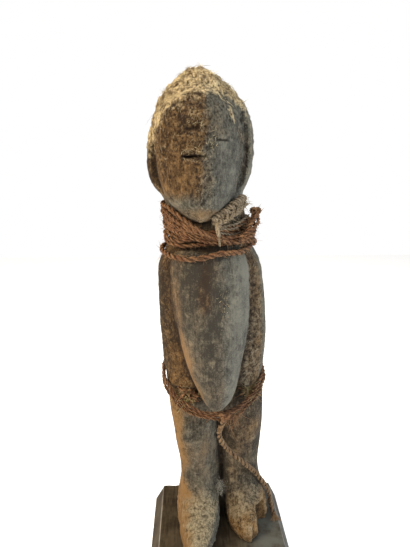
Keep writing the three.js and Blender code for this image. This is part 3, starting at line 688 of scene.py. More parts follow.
# The plait under the right jaw: three strands that swing across it once while they swing in and
# out twice, a third of a turn apart. Thin grey strands run from it, and a pale tie hangs in front.
plait = {
    "width": 11.5, "thickness": 5.2, "strand": 3.9, "swing": 15.0, "fuzz": 420, "fuzzLength": 5.0,
    "winding": [
        [0.262, 310.6, 6.2], [0.29, 314.8, 6.8], [0.315, 318.2, 6.6], [0.345, 321.8, 5.8], [0.385, 325.6, 4.2],
    ],
    "strands": [
        [[0.262, 303.0, 6.4], [0.282, 305.0, 6.6], [0.31, 304.8, 5.6], [0.354, 306.8, 4.0], [0.398, 308.8, 2.8],
         [0.478, 309.4, 1.8], [0.56, 309.5, 1.4]],
        [[0.260, 300.5, 7.0], [0.272, 302.2, 6.6], [0.302, 300.6, 5.4], [0.36, 301.2, 3.4], [0.44, 303.5, 2.4],
         [0.55, 304.0, 1.8]],
        [[0.275, 306.6, 6.6], [0.33, 308.4, 5.4], [0.37, 310.8, 3.8], [0.43, 313.5, 2.6]],
    ],
    "tie": [[0.258, 309.6, 5.4], [0.267, 308.4, 8.4], [0.266, 304.5, 9.2], [0.268, 300.0, 9.0], [0.270, 295.5, 7.8],
            [0.271, 292.4, 6.6]],
}
threads = Threads()
plaitPath = woundAbout(plait["winding"], plait["thickness"] / 2, perTurn=400)
side, rise = acrossPath(plaitPath, up)
along = lengthAlong(plaitPath)[0]
for strandNumber in range(3):
    phase = (2 * np.pi * (along / plait["swing"] + strandNumber / 3))[:, None]
    middle = (plaitPath + rise * np.sin(phase) * (plait["width"] - plait["strand"]) / 2
              + side * np.sin(2 * phase) * (plait["thickness"] - 0.6 * plait["strand"]) / 2)
    addCord(threads, middle, plait["strand"], 3, 8, up, rough=0.12)
addFuzz(threads, plaitPath, up, plait["width"] * 0.8, plait["fuzz"], plait["fuzzLength"])
for rows in plait["strands"]:
    strandPath = woundAbout(rows, 0.9, perTurn=300)
    addCord(threads, strandPath, 1.9, 2, 7, up, sides=8, wander=0.3)
    addFuzz(threads, strandPath, up, 1.9, 40, 4.0)
tiePath = woundAbout(plait["tie"], 0.6, perTurn=4000)
for _ in range(5):
    addStrand(threads, tiePath + dice.uniform(-0.6, 0.6, 3), 0.45, (0, 1, 0), sides=6, rough=0.15)
addStrand(threads, tiePath[:40] + np.array([0.3, -0.6, -0.2]), 1.25, (0, 1, 0), sides=8, rough=0.2)
threads.piece("neck_plait_braid", greyCord, "grey_cord", ["neck_plait"])
print("neck bound")

# The hip cord: thin strands that wander up and down in the bundle, and a knot in front.
hip = {
    "strands": 4, "thickness": 2.3, "height": 8.4, "width": 3.4, "fuzz": 380, "fuzzLength": 6.5,
    "route": [
        [-5.0, -12.6, 147.6], [-15, -11.2, 147.8], [-24, -8.8, 149.6], [-33, -5.8, 153.6],
        [-41.6, -1.6, 161.0], [-48.6, 7.4, 171.2], [-49.9, 20.0, 177], [-46.8, 37.0, 180],
        [-37.4, 46.0, 181.5], [-22, 51.8, 182], [-5, 53.4, 182], [10, 51.8, 181.6], [25.2, 46.6, 180.5],
        [35.2, 37.0, 178], [38.2, 20.0, 174.5], [35.6, 6.6, 170.4], [28.0, -3.2, 163.0],
        [19.2, -7.4, 155.6], [11.0, -10.6, 150.8], [3.0, -12.6, 148.4],
    ],
    "knot": {"at": (1.2, -14.4, 148.0), "size": 1.35, "thickness": 2.5},
    "hanging": {"at": (8, -11, 146), "spread": (7, 1.5, 3), "count": 46,
                "thread": [[10.6, -11.5, 148], [10.4, -10.4, 142], [9.6, -8.0, 136], [8.2, -5.0, 129]]},
}
threads = Threads()
hipPath = smoothPath(hip["route"], 0.8, closed=True)
side, rise = acrossPath(hipPath, up, closed=True)
along, total = lengthAlong(hipPath, closed=True)
for number in range(hip["strands"]):
    share = (number / (hip["strands"] - 1) - 0.5) * (hip["height"] - hip["thickness"])
    swing = 2 * np.pi * along / total
    climb = share + 0.9 * np.sin(3 * swing + 2.1 * number) + 0.6 * np.sin(7 * swing + 1.3 * number)
    out = 0.7 * np.sin(5 * swing + 1.9 * number)
    middle = hipPath + rise * climb[:, None] + side * out[:, None]
    addCord(threads, middle, hip["thickness"], 2, 10, up, closed=True, sides=8, wander=0.7, rough=0.16)
addFuzz(threads, hipPath, up, hip["height"] * 0.7, hip["fuzz"], hip["fuzzLength"], closed=True)
knot = hip["knot"]
addStrand(threads, trefoil(knot["at"], knot["size"]), knot["thickness"] / 2, (0.1, 1, 0.1), closed=True,
          sides=10, ridgePitch=-5.0)
hanging = hip["hanging"]
starts = np.array(hanging["at"]) + np.array(hanging["spread"]) * dice.uniform(-1, 1, (hanging["count"], 3))
addFibres(threads, starts, unit(np.array([0, 0.15, -1]) + 0.25 * dice.normal(size=starts.shape)),
          0.2 * dice.normal(size=starts.shape), dice.uniform(5, 18, hanging["count"]), 0.4, loose=0.5)
addStrand(threads, smoothPath(hanging["thread"], 0.8), 0.4, (0, 1, 0), sides=6)
threads.piece("hip_cord_bound", brownCord, "brown_cord", ["hip_cord"])

# Raffia: ribbons packed in an oval under each arm's end.
raffia = Finish(bpy.data.materials.new("raffia"))
ribbon = raffia.mark("strand", "Vector")
tone = raffia.noise(raffia.stretched(ribbon, (1, 1, 0.2)), 3.0, 3, 0.6)
spots = raffia.noise(raffia.place(), 2.5, 4, 0.65)
leaf = raffia.blend((0.060, 0.042, 0.017), (0.420, 0.350, 0.165), raffia.ramp(tone, 0.35, 0.62))
leaf = raffia.blend(leaf, (0.260, 0.125, 0.062), raffia.ramp(spots + raffia.mark("loose") - 0.5, 0.30, 0.66) * 0.9)
raffiaFinish = raffia.surface({"Base Color": leaf, "Roughness": raffia.ramp(tone, 0.3, 0.7, 0.9, 0.6),
                               "Normal": raffia.bump(tone, 0.3, 0.6)})
tufts = {
    "raffia_left": {"at": (-28.5, -1.6, 160.6), "size": (13.5, 4.2, 6.8), "turn": 26, "count": 330, "brown": 0.62},
    "raffia_right": {"at": (24.5, 1.2, 163.0), "size": (9.5, 4.0, 6.0), "turn": -36, "count": 230, "brown": 0.25},
}
for name, tuft in tufts.items():
    threads = Threads()
    count = tuft["count"]
    inside = unit(dice.normal(size=(count, 3))) * dice.uniform(0.3, 0.95, (count, 1)) * np.array(tuft["size"])
    lean = math.radians(tuft["turn"])
    turned = np.array([[math.cos(lean), 0, math.sin(lean)], [0, 1, 0], [-math.sin(lean), 0, math.cos(lean)]])
    lengths = dice.uniform(3.5, 9, count)
    directions = unit(np.array([0.6, -0.1, 0.3]) * dice.choice([-1.0, 1.0], (count, 1)) + 0.6 * dice.normal(size=(count, 3)))
    starts = inside * [0.7, 0.9, 0.9] - directions * lengths[:, None] * 0.45
    brown = int(tuft["brown"] * count)
    for part, loose in ((slice(0, brown), 1.0), (slice(brown, count), 0.0)):
        addFibres(threads, starts[part] @ turned.T + tuft["at"], directions[part] @ turned.T,
                  0.5 * dice.normal(size=starts[part].shape), lengths[part],
                  dice.uniform(0.5, 1.2, len(starts[part])), flat=0.3, taper=0.4, loose=loose)
    threads.piece(name + "_tuft", raffiaFinish, "raffia", [name])
print("hips bound")


# A carved form: outlines at even steps of height, closed at both ends by shrinking caps.
def carvedForm(name, step, shape=None, rise=0.0):
    table = sections[name]
    heights = np.arange(table[0][0], table[-1][0] + step / 2, step)
    rows = rowsAt(table, heights)
    angles = (np.arange(190) + 0.5) / 190 * 2 * np.pi
    grid = outline(rows, angles)
    if shape:
        grid = shape(grid, rows)
    shares = np.array([0.35, 0.7, 0.9])[:, None, None]
    low, high = grid[:1], grid[-1:]
    lowCap = low.mean(1, keepdims=True) + (low - low.mean(1, keepdims=True)) * shares
    top = high.mean(1, keepdims=True)
    highCap = top + (high - top) * shares[::-1]
    highCap[..., 2] += rise * (1 - shares[::-1, :, 0] ** 2)
    return tubes(np.concatenate([lowCap, grid, highCap])[None])


grooves = {
    "flap": {"low": 331, "high": 391, "depth": 6.0, "place": 0.81, "width": 0.075},
    "arm": {"low": 172, "high": 266, "depth": 3.5, "place": 0.84, "width": 0.07},
    "spine": {"low": 186, "high": 300, "depth": 3.0, "width": 0.16},
}


# The grooves of the log are bell curves across its width, faded in and out over the height.
def grooveLog(grid, rows):
    z, middle, half, _, wide = [column[:, None] for column in rows.T[:5]]
    side = np.abs(grid[..., 0] - middle) / half
    flap, arm, spine = grooves["flap"], grooves["arm"], grooves["spine"]
    inFlap = flap["depth"] * bell(side - flap["place"], flap["width"]) * between(z, flap["low"], flap["high"], 6)
    inArm = arm["depth"] * bell(side - arm["place"], arm["width"]) * between(z, arm["low"], arm["high"], 6)
    inSpine = spine["depth"] * bell(side, spine["width"]) * between(z, spine["low"], spine["high"], 14)
    grid[..., 1] += np.where(grid[..., 1] < wide, inFlap, -inArm - inSpine)
    return grid


toeShift = -3.5


def shiftToe(grid, rows):   # the whole foot's toe points outwards, by the square of the way forward
    front, wide = rows[:, 3:4], rows[:, 4:5]
    forward = np.clip((wide - grid[..., 1]) / (wide - front), 0, 1)
    grid[..., 0] += toeShift * forward ** 2
    return grid


# The broken foot: points beyond each flat face are moved back onto it, along its outward way.
breakFaces = [
    {"point": (36.6, 0, 0), "out": (1, -0.05, 0.10), "before": 7.0, "below": 47},
    {"point": (31.4, -13.6, 30), "out": (0.74, -0.66, -0.10), "before": 9.0, "below": 50},
]


def breakFoot(grid, rows):
    for face in breakFaces:
        out = unit(np.array(face["out"], float))
        beyond = np.maximum((grid - np.array(face["point"])) @ out, 0)
        broken = (grid[..., 1] < face["before"]) & (grid[..., 2] < face["below"])
        grid -= (beyond * broken)[..., None] * out
    return grid


step = 1.4
forms = joined([
    carvedForm("log", step, grooveLog, rise=1.8),
    carvedForm("face", step),
    carvedForm("belly", step),
    carvedForm("hips", step),
    carvedForm("leftLeg", step, shiftToe),
    carvedForm("rightLeg", step, breakFoot),
])


# One skin over all the forms, by a voxel remesh.
def oneSkin(surface, voxel):
    rough = bpy.data.objects.new("forms", newMesh("forms", surface))
    bpy.context.scene.collection.objects.link(rough)
    remesh = rough.modifiers.new("skin", "REMESH")
    remesh.mode = "VOXEL"
    remesh.voxel_size = voxel * mm
    remesh.use_smooth_shade = True
    evaluated = rough.evaluated_get(bpy.context.evaluated_depsgraph_get())
    mesh = bpy.data.meshes.new_from_object(evaluated)
    bpy.data.objects.remove(rough)
    return mesh


figure = {"voxel": 1.32}
skin = oneSkin(forms, figure["voxel"])
print("figure skinned:", len(skin.vertices), "points")

# The face's features get a finer skin: every edge between these corners is cut in two.
fineFace = {"low": (-40, -40, 345), "high": (6, -18, 386)}
sculpt = bmesh.new()
sculpt.from_mesh(skin)
low, high = Vector(fineFace["low"]) * mm, Vector(fineFace["high"]) * mm
cut = [edge for edge in sculpt.edges
       if all(low[k] < (edge.verts[0].co[k] + edge.verts[1].co[k]) / 2 < high[k] for k in range(3))]
bmesh.ops.subdivide_edges(sculpt, edges=cut, cuts=1, use_grid_fill=True)
bmesh.ops.triangulate(sculpt, faces=[face for face in sculpt.faces if len(face.verts) > 4])
sculpt.to_mesh(skin)
sculpt.free()
skin.update()


def readPoints(mesh):
    values = np.zeros(len(mesh.vertices) * 3, np.float32)
    mesh.vertices.foreach_get("co", values)
    return values.reshape(-1, 3).astype(float) / mm


def readNormals(mesh):
    values = np.zeros(len(mesh.vertices) * 3, np.float32)
    mesh.vertex_normals.foreach_get("vector", values)
    return values.reshape(-1, 3).astype(float)


def writePoints(mesh, points):
    mesh.vertices.foreach_set("co", (points * mm).ravel().astype(np.float32))
    mesh.update()


# Each point's mean neighbour, taken again and again: the smoothed values of a mesh's points.
def smoothed(mesh, values, times):
    edges = np.zeros(len(mesh.edges) * 2, np.int32)
    mesh.edges.foreach_get("vertices", edges)
    first, second = edges.reshape(-1, 2).T
    count = len(mesh.vertices)
    links = np.maximum(np.bincount(first, minlength=count) + np.bincount(second, minlength=count), 1)
    flat = values.reshape(count, -1).copy()
    for _ in range(times):
        flat = np.stack([(np.bincount(first, column[second], count) + np.bincount(second, column[first], count))
                         / links for column in flat.T], axis=1)
    return flat.reshape(values.shape)


points = readPoints(skin)
normals = readNormals(skin)
points[:, 2] = np.maximum(points[:, 2], 24.0)
x, y, z = points.T
facing = smoothStep(-normals[:, 1], 0.0, 0.5)
upward = smoothStep(normals[:, 2], 0.05, 0.6)
ragged = 5.0 * layeredNoise(points, 17, 3, 101) + 1.5 * layeredNoise(points, 4, 2, 111)

# Where each kind of surface lies, as shares from 0 to 1. Aside is -1 at the log's left edge and 1
# at its right, and acrossBelly the same for the belly.
_, logMiddle, logHalf = rowsAt(sections["log"], z).T[:3]
_, bellyMiddle, bellyHalf = rowsAt(sections["belly"], z).T[:3]
aside = (x - logMiddle) / logHalf
acrossBelly = (x - bellyMiddle) / bellyHalf
onHead = smoothStep(z, 316, 324)
onTrunk = between(z, 166, 290, 3)
onBelly = np.clip(onTrunk * smoothStep(-y, 5.5, 9.0) + between(z, 150, 168, 3) * smoothStep(-y, 10, 13), 0, 1)
onArm = onTrunk * (1 - onBelly) * smoothStep(26 - y, 0, 8)
onLegs = (1 - smoothStep(z, 160, 168)) * (1 - onBelly)
onLeftLeg = onLegs * (x < 1.5)
onRightLeg = onLegs * (x >= 1.5)
onLeftFoot = (1 - smoothStep(z + 0.3 * ragged, 50, 70)) * (x < 1.5)
onRightFoot = (1 - smoothStep(z + 0.3 * ragged, 50, 70)) * (x >= 1.5)
onBreak = (x > 8) * (1 - smoothStep(z, 44, 52)) * smoothStep(x - 0.9 * y, 38, 44) * (y < 10)
cap = smoothStep(z + 0.42 * np.maximum(-22 - x, 0) - 0.04 * np.maximum(x + 12, 0) + ragged, 388, 408)
leftRim = smoothStep(-aside, 0.70, 0.92) * between(z + ragged, 354, 402, 10)
rightRim = smoothStep(aside + 0.01 * ragged, 0.62, 0.9) * between(z + ragged, 376, 402, 10)
whitePatch = bell(x - 3.6, 3.2) * bell(z - 385 + 0.7 * (x - 3.6), 6.5) * facing
onCrown = onHead * np.clip(cap + 0.8 * leftRim + 0.30 * rightRim, 0, 1)
faceLeft = onHead * facing * smoothStep(-(x + 17 + 0.8 * ragged), -3, 3) * smoothStep(z + ragged, 318, 340)
cheek = onHead * facing * between(x + 0.4 * ragged, -8, 15, 3) * between(z + ragged, 322, 366, 5)
rightBand = onHead * between(aside, 0.65, 0.88, 0.04) * between(z + ragged, 326, 374, 6)
# Painted cool light: the head's outer right rim, made paler and greyer as if lit by the lamp at the right.
rightRimLight = onHead * smoothStep(aside, 0.88, 0.95) * smoothStep(30 - y, 0, 10)
coarseFace = onHead * (1 - cheek) * np.clip(
    smoothStep(z + 1.5 * ragged, 350, 368) + between(x + ragged, -20, -6, 4) + 0.35, 0, 1)
coarseArm = onArm * (0.25 + 0.75 * between(aside, 0.2, 0.88, 0.12))
coarseFoot = np.clip(onLeftFoot + onRightFoot, 0, 1)
coarse = np.clip(coarseFace + coarseArm + 0.8 * coarseFoot + rightBand + onBreak, 0, 1)

# Relief, as heights in mm along the normal.
relief = {
    "sway": 0.60, "adze": 0.50, "armPits": 2.1, "armRough": 1.0, "crust": 1.1, "grain": 0.25,
    "footCrust": 0.65, "splinters": 1.9, "faceCrust": 0.75, "pocks": 0.80, "patch": 1.0,
}
height = relief["sway"] * layeredNoise(points, (15, 15, 42), 2, 3)
height += relief["adze"] * (scoopNoise(points, (11, 11, 30), 21) ** 2 - 0.25) * (1 - 0.5 * onHead)
turnedPoints = points @ np.array([[0.9, 0, 0.4], [0, 1, 0], [-0.4, 0, 0.9]])
pits = scoopNoise(turnedPoints, (4.2, 4.2, 3.6), 8)
height += coarseArm * (relief["armPits"] * (pits - 0.6) + relief["armRough"] * layeredNoise(points, 5.0, 3, 31))
height += relief["grain"] * (1 - 0.7 * cheek) * layeredNoise(points, (3.0, 3.0, 34), 2, 41)
height += onCrown * relief["crust"] * layeredNoise(points, 4.4, 3, 51)
height += coarseFace * relief["faceCrust"] * layeredNoise(points, 3.0, 3, 61)
height += whitePatch * relief["patch"]
footTop = (onLeftFoot + 0.8 * onRightFoot) * upward
height += coarseFoot * relief["footCrust"] * layeredNoise(points, 3.4, 3, 71)
pocks = smoothStep(layeredNoise(points, (4.5, 4.5, 7), 2, 75), 0.45, 0.95) * (onLegs + 0.4 * onHead)
height -= relief["pocks"] * pocks
splinter = np.round(2.4 * layeredNoise(points, (2.8, 4.0, 12.0), 2, 81)) / 2.4
height += onBreak * relief["splinters"] * (splinter - 0.2)

# The face, read from its middle line: a dark crease under the brow, a low nose, one eye and the
# mouth. Tilt is how far a feature climbs for each mm to the right.
features = {
    "nose": {"at": (-23.2, 365.5), "rise": 2.4, "size": (7.5, 7.5)},
    "brow": {"at": (-24.0, 380.0), "rise": 1.6, "size": (13.0, 4.0), "tilt": 0.25},
    "bridge": {"at": (-17.4, 375.6), "rise": 1.7, "size": (1.5, 5.0)},
    "bridgeRight": {"at": (-12.4, 369.6), "rise": 1.2, "size": (6.0, 1.7), "tilt": -0.85},
    "crease": {"at": (-24.5, 373.2), "depth": 1.5, "size": (8.5, 1.5), "tilt": 0.12},
    "noseHollow": {"at": (-21.4, 375.0), "depth": 2.0, "size": (4.6, 2.8), "tilt": 0.15},
    "rightHollow": {"at": (-8.0, 373.8), "depth": 1.8, "size": (7.0, 4.0)},
    "eye": {"at": (-3.9, 366.6), "depth": 1.5, "half": 4.4, "tall": 0.75},
    "eyelid": {"at": (-3.9, 368.4), "rise": 0.7, "size": (5.0, 1.1)},
    "mouth": {"at": (-22.6, 355.6), "depth": 3.8, "half": 8.6, "tall": 0.8, "fade": 0.7},
    "mouthLeft": {"at": (-26.4, 355.8), "depth": 2.6, "size": (4.6, 1.7)},
    "upperLip": {"at": (-26.0, 359.2), "rise": 1.1, "size": (6.5, 1.5)},
    "lowerLip": {"at": (-24.0, 352.4), "rise": 0.9, "size": (7.5, 1.7)},
    "cheekFlat": {"at": (-0.5, 346), "depth": 1.6, "size": (8.0, 20.0)},
}


def oval(feature):   # a bell over an oval of the face
    (atX, atZ), (sizeX, sizeZ) = feature["at"], feature["size"]
    climb = feature.get("tilt", 0.0) * (x - atX)
    return np.exp(-((x - atX) / sizeX) ** 2 - ((z - atZ - climb) / sizeZ) ** 2)


def slit(feature):   # a level cut, flat along its length and deepest along its middle
    (atX, atZ), half, tall = feature["at"], feature["half"], feature["tall"]
    along = 1 - smoothStep(np.abs(x - atX), half - 1.6, half + 0.6)
    along *= 1 - feature.get("fade", 0.0) * smoothStep(x - atX, -0.4 * half, half)
    return along * bell(z - atZ - 0.03 * (x - atX), tall)


risen = [feature["rise"] * oval(feature) for feature in features.values() if "rise" in feature]
sunk = [feature["depth"] * (slit(feature) if "half" in feature else oval(feature))
        for feature in features.values() if "depth" in feature]
onFace = onHead * facing * smoothStep(-y, 4, 14)
points[:, 1] -= (sum(risen) - sum(sunk)) * onFace
points += normals * height[:, None]
points[:, 2] = np.maximum(points[:, 2], 24.0)
writePoints(skin, points)
normals = readNormals(skin)

# How hollow or sharp each point lies: how far its smoothed place stands off along the normal.
near = np.einsum("ij,ij->i", smoothed(skin, points, 3) - points, normals)
wide = np.einsum("ij,ij->i", smoothed(skin, points, 40) - points, normals)
hollow = np.clip(0.9 * smoothStep(near, 0.03, 0.42) + 0.9 * smoothStep(wide, 0.4, 2.4), 0, 1)
edge = np.clip(smoothStep(-near, 0.04, 0.40) + 0.6 * smoothStep(-wide, 0.8, 3.0), 0, 1)
groove = onHead * between(z, 332, 372, 5) * bell(np.abs(aside) - 0.80, 0.09) * smoothStep(16 - y, 0, 8) * (y > -6)
leftBand = onHead * between(z, 334, 366, 8) * smoothStep(-aside, 0.80, 0.87)
slits = np.clip(onFace * (slit(features["mouth"]) + 0.9 * oval(features["mouthLeft"]) + 0.6 * slit(features["eye"])
                          + 0.55 * oval(features["noseHollow"]) + 0.45 * oval(features["crease"])), 0, 1)
underArms = between(z, 160, 170, 3) * (1 - onBelly) * smoothStep(8 - y, 0, 8) * smoothStep(-normals[:, 2], 0.0, 0.5)
betweenLegs = onLegs * bell(x - 0.5, 4.5) * smoothStep(y, -2, 8)
underNeck = between(z, 285, 292, 2) * bell(x + 3, 13) * facing
besideBelly = onArm * (1 - smoothStep(np.abs(acrossBelly), 1.0, 1.22)) * (y < 4)
streak = bell(x + 15 + 0.4 * ragged, 4) * onBelly * between(z + ragged, 244, 286, 8)
bellyLine = bell(x + 15.8 + 0.05 * ragged, 0.8) * onBelly * between(z + ragged, 226, 262, 6)
# Painted shade: the shadow mark darkens the colour in hollows, under the neck, under the arms' ends, between the legs,
# beside the belly, in the head's grooves and left band, in the face's slits and along a line down the belly.
shadow = np.clip(hollow * (1 - 0.55 * rightBand) + 0.9 * underNeck + 0.15 * groove + 0.75 * leftBand + slits + 0.8 * underArms
                 + 0.8 * betweenLegs + 0.55 * besideBelly + 0.7 * bellyLine, 0, 1)
# The upper lip's ledge gets a painted highlight, added into the crust mark with the real crust.
lipHighlight = onFace * oval(features["upperLip"])
crust = np.clip(onCrown + 0.95 * whitePatch + 0.4 * lipHighlight + 0.22 * faceLeft * smoothStep(z, 356, 380)
                + 0.08 * coarseFace, 0, 1)
footCrust = np.clip(0.9 * footTop * onLeftFoot * smoothStep(x + 36 + 1.2 * ragged, 0, 14)
                    + 0.45 * footTop * onRightFoot, 0, 1)

# How warm the wood's colour is, and how pale: half is the plain tone of the whole figure.
# Painted warm light, partly the wood's own tan: the belly's left edge is made warmer and paler.
bellyEdge = onBelly * smoothStep(-acrossBelly, 0.55, 0.90) * (1 - 0.7 * smoothStep(z, 240, 275))
leftSide = onLeftFoot * smoothStep(-(x + 20 + 1.2 * ragged), 0, 14)
# Painted warm light: the left leg's left edge is made warmer and paler.
legEdge = onLeftLeg * smoothStep(-(x + 20.5 + 0.8 * ragged) / 20, 0.2, 1.0)
# Painted light in the warmth: the left edges of the belly and left leg and the head's left rim are warmer as if lit by
# the warm lamp at the left, the rim partly by its crust's own colour; the right of the head and belly and the head's
# outer right rim are greyer as if lit by the cool lamp at the right.
warm = (0.5 + 0.50 * faceLeft - 0.45 * cheek - 0.32 * onHead * (1 - smoothStep(z, 322, 338))
        - 0.16 * onHead * facing * smoothStep(x + 19, 0, 4)
        - 0.12 * onHead * smoothStep(aside, 0.0, 0.4) + 0.2 * rightBand - 0.2 * rightRimLight + 0.35 * leftRim * onHead
        + 0.30 * bellyEdge - 0.38 * onBelly * smoothStep(acrossBelly, 0.1, 0.6) - 0.14 * onBelly
        + 0.45 * streak + 0.20 * onArm * (aside < 0) + 0.02 * onArm * (aside > 0) - 0.3 * onArm * smoothStep(aside, 0.86, 0.96)
        + 0.35 * legEdge - 0.04 * onRightLeg - 0.15 * onLeftLeg * (1 - legEdge)
        + 0.55 * leftSide - 0.20 * onLeftFoot * smoothStep(x + 14, 0, 8)
        + 0.35 * onRightFoot * smoothStep(-(z - 46 - 0.5 * (x - 20)), 0, 8) + 0.45 * onBreak)
# Painted light in the paleness: paler on the left edges of the belly and left leg, on the right of the head and belly,
# on the head's outer right rim and on the left leg's inner edge.
pale = (0.5 + 0.12 * rightRimLight - 0.06 * onArm * (aside < 0) + 0.03 * onArm * (aside > 0) + 0.28 * leftSide
        + 0.05 * onLeftFoot + 0.04 * onRightFoot + 0.36 * onBreak - 0.10 * streak - 0.05 * faceLeft - 0.03 * cheek
        - 0.05 * onHead * facing * bell(x + 12, 8)
        + 0.07 * bellyEdge + 0.10 * legEdge - 0.05 * onBelly * bell(acrossBelly, 0.6)
        - 0.10 * onBelly * smoothStep(0.4 - acrossBelly, 0.0, 0.7) * smoothStep(z, 225, 265)
        + 0.05 * onBelly * smoothStep(acrossBelly, 0.1, 0.6) - 0.02 * rightBand + 0.05 * onHead * (aside > 0)
        - 0.06 * onRightLeg * smoothStep(z, 90, 110) + 0.04 * onLeftLeg * smoothStep(x + 20, 0, 8))
polish = np.clip(onBelly + cheek, 0, 1) * (1 - hollow)


# Wood finish: fine upright grain with slow patches where the wood is smooth and fibrous specks
# where it is coarse, warm and grey by turns, with pale crust that holds a painted highlight on the
# upper lip, dust on what stands out, painted shade in hollows and creases, and short cracks along the grain.
def weatheredWood():
    wood = Finish(bpy.data.materials.new("weathered_wood"))
    here = wood.place()
    upright = wood.place((1, 1, 0.07))
    coarseness = wood.mark("coarse")
    mottle = wood.noise(here, 6.5, 5, 0.62, 0.4)
    patches = wood.noise(wood.place((1, 1, 0.5)), 24, 5, 0.62)
    specks = wood.noise(wood.place((1, 1, 0.7)), 1.7, 5, 0.82, 0.15)
    grit = wood.noise(here, 0.9, 3, 0.75)
    streaks = wood.noise(upright, 1.3, 5, 0.68, 0.2)
    smoothTone = 0.30 * patches + 0.14 * streaks + 0.20 * mottle + 0.20 * specks + 0.16 * grit
    coarseTone = 0.16 * patches + 0.04 * streaks + 0.20 * mottle + 0.60 * specks
    tone = smoothTone + (coarseTone - smoothTone) * coarseness
    level = wood.ramp(tone + 0.5 * wood.mark("pale"), 0.675, 0.835)
    brown = wood.blend((0.022, 0.011, 0.004), (0.215, 0.120, 0.045), level)
    grey = wood.blend((0.025, 0.022, 0.016), (0.150, 0.142, 0.112), level)
    body = wood.blend(grey, brown, wood.ramp(wood.mark("warm") + 0.9 * patches, 0.60, 1.30))
    crustColour = wood.blend((0.130, 0.080, 0.034), (0.760, 0.600, 0.340), wood.ramp(specks + 0.6 * mottle, 0.68, 0.94))
    # The crust mark is real crust, with a painted highlight on the upper lip.
    body = wood.blend(body, crustColour, wood.ramp(wood.mark("crust") + 1.4 * mottle + 0.6 * specks, 1.40, 1.95))
    shell = wood.blend((0.130, 0.100, 0.058), (0.400, 0.330, 0.205), wood.ramp(specks, 0.38, 0.62))
    body = wood.blend(body, shell, wood.ramp(wood.mark("footCrust") + 1.4 * mottle, 0.70, 1.70) * 0.9)
    dust = wood.ramp(grit + 0.5 * (specks - 0.5) + 0.22 * wood.mark("edge"), 0.60, 0.80)
    body = wood.blend(body, (0.360, 0.300, 0.200), dust * (0.28 + 0.27 * coarseness))
    flecks = wood.ramp(specks, 0.34, 0.42, 1.0, 0.0) * coarseness
    body = wood.blend(body, (0.020, 0.012, 0.006), flecks * 0.8)
    cracks = wood.ramp(wood.noise(upright, 0.8, 2, 0.6), 0.27, 0.37, 1.0, 0.0)
    body = wood.blend(body, (0.022, 0.014, 0.008), cracks * 0.4)
    # Painted shade: darker colour wherever the shadow mark lies.
    body = wood.blend(body, (0.016, 0.009, 0.005), wood.mark("shadow") * wood.ramp(specks, 0.30, 0.70, 0.96, 0.60))
    relief = 0.7 * mottle + 0.2 * streaks + 0.6 * grit + specks * (0.6 + 1.4 * coarseness)
    normal = wood.bump(relief, 1.0, 1.0)
    rough = wood.ramp(wood.mark("polish") + grit - 0.5, 0.0, 1.0, 0.92, 0.66)
    return wood.surface({"Base Color": body, "Roughness": rough, "Normal": normal, "Specular IOR Level": 0.25})


figurePiece = newPiece("figure_carved", skin, weatheredWood(), ["figure"], {
    "shadow": shadow, "crust": crust, "footCrust": footCrust, "warm": warm, "pale": pale, "edge": edge,
    "polish": polish, "coarse": coarse})
print("figure carved")

# Straw stuck in the crust of the crown, down the left edge and about the nose, in clumps.
straw = {"crown": 1300, "face": 150, "belly": 36, "thickness": 0.34, "lift": 0.08}
strawFinish = Finish(bpy.data.materials.new("straw"))
stalk = strawFinish.noise(strawFinish.stretched(strawFinish.mark("strand", "Vector"), (1, 1, 0.3)), 4.0, 2)
spots = strawFinish.noise(strawFinish.place(), 6.0, 3)
stalkColour = strawFinish.blend((0.120, 0.070, 0.028), (0.700, 0.580, 0.340),
                                strawFinish.ramp(0.4 * stalk + 0.6 * spots, 0.42, 0.60))
strawMaterial = strawFinish.surface({"Base Color": stalkColour, "Roughness": strawFinish.ramp(stalk, 0.3, 0.7, 0.9, 0.6)})


def scatterStraw(threads, share, count, length, thickness, curl=0.35):
    chosen = dice.choice(len(points), count, p=share / share.sum())
    normal = normals[chosen]
    directions = unit(np.cross(normal, dice.normal(size=(count, 3))) + straw["lift"] * normal)
    bends = curl * np.cross(normal, dice.normal(size=(count, 3))) - 0.22 * normal
    addFibres(threads, points[chosen] + 0.1 * normal, directions, bends,
              length * dice.uniform(0.3, 1.0, count), thickness * dice.uniform(0.5, 1.4, count))


threads = Threads()
clumps = smoothStep(layeredNoise(points, 9, 3, 121), -0.25, 0.45) + 0.06
scatterStraw(threads, onHead * (cap + 0.25 * leftRim) ** 2 * clumps * smoothStep(-y, -22, -6), straw["crown"], 7.0,
             straw["thickness"])
nearNose = onHead * facing * bell(x + 20, 13) * bell(z - 366, 10) + 0.25 * faceLeft * bell(z - 380, 14)
scatterStraw(threads, nearNose ** 2 * clumps, straw["face"], 5.0, 0.20, curl=0.15)
onChest = onBelly * bell(acrossBelly - 0.28, 0.16) * bell(z - 245, 14)
scatterStraw(threads, onChest ** 2, straw["belly"], 3.2, 0.30, curl=0.2)
threads.piece("crown_straw", strawMaterial, "raffia")

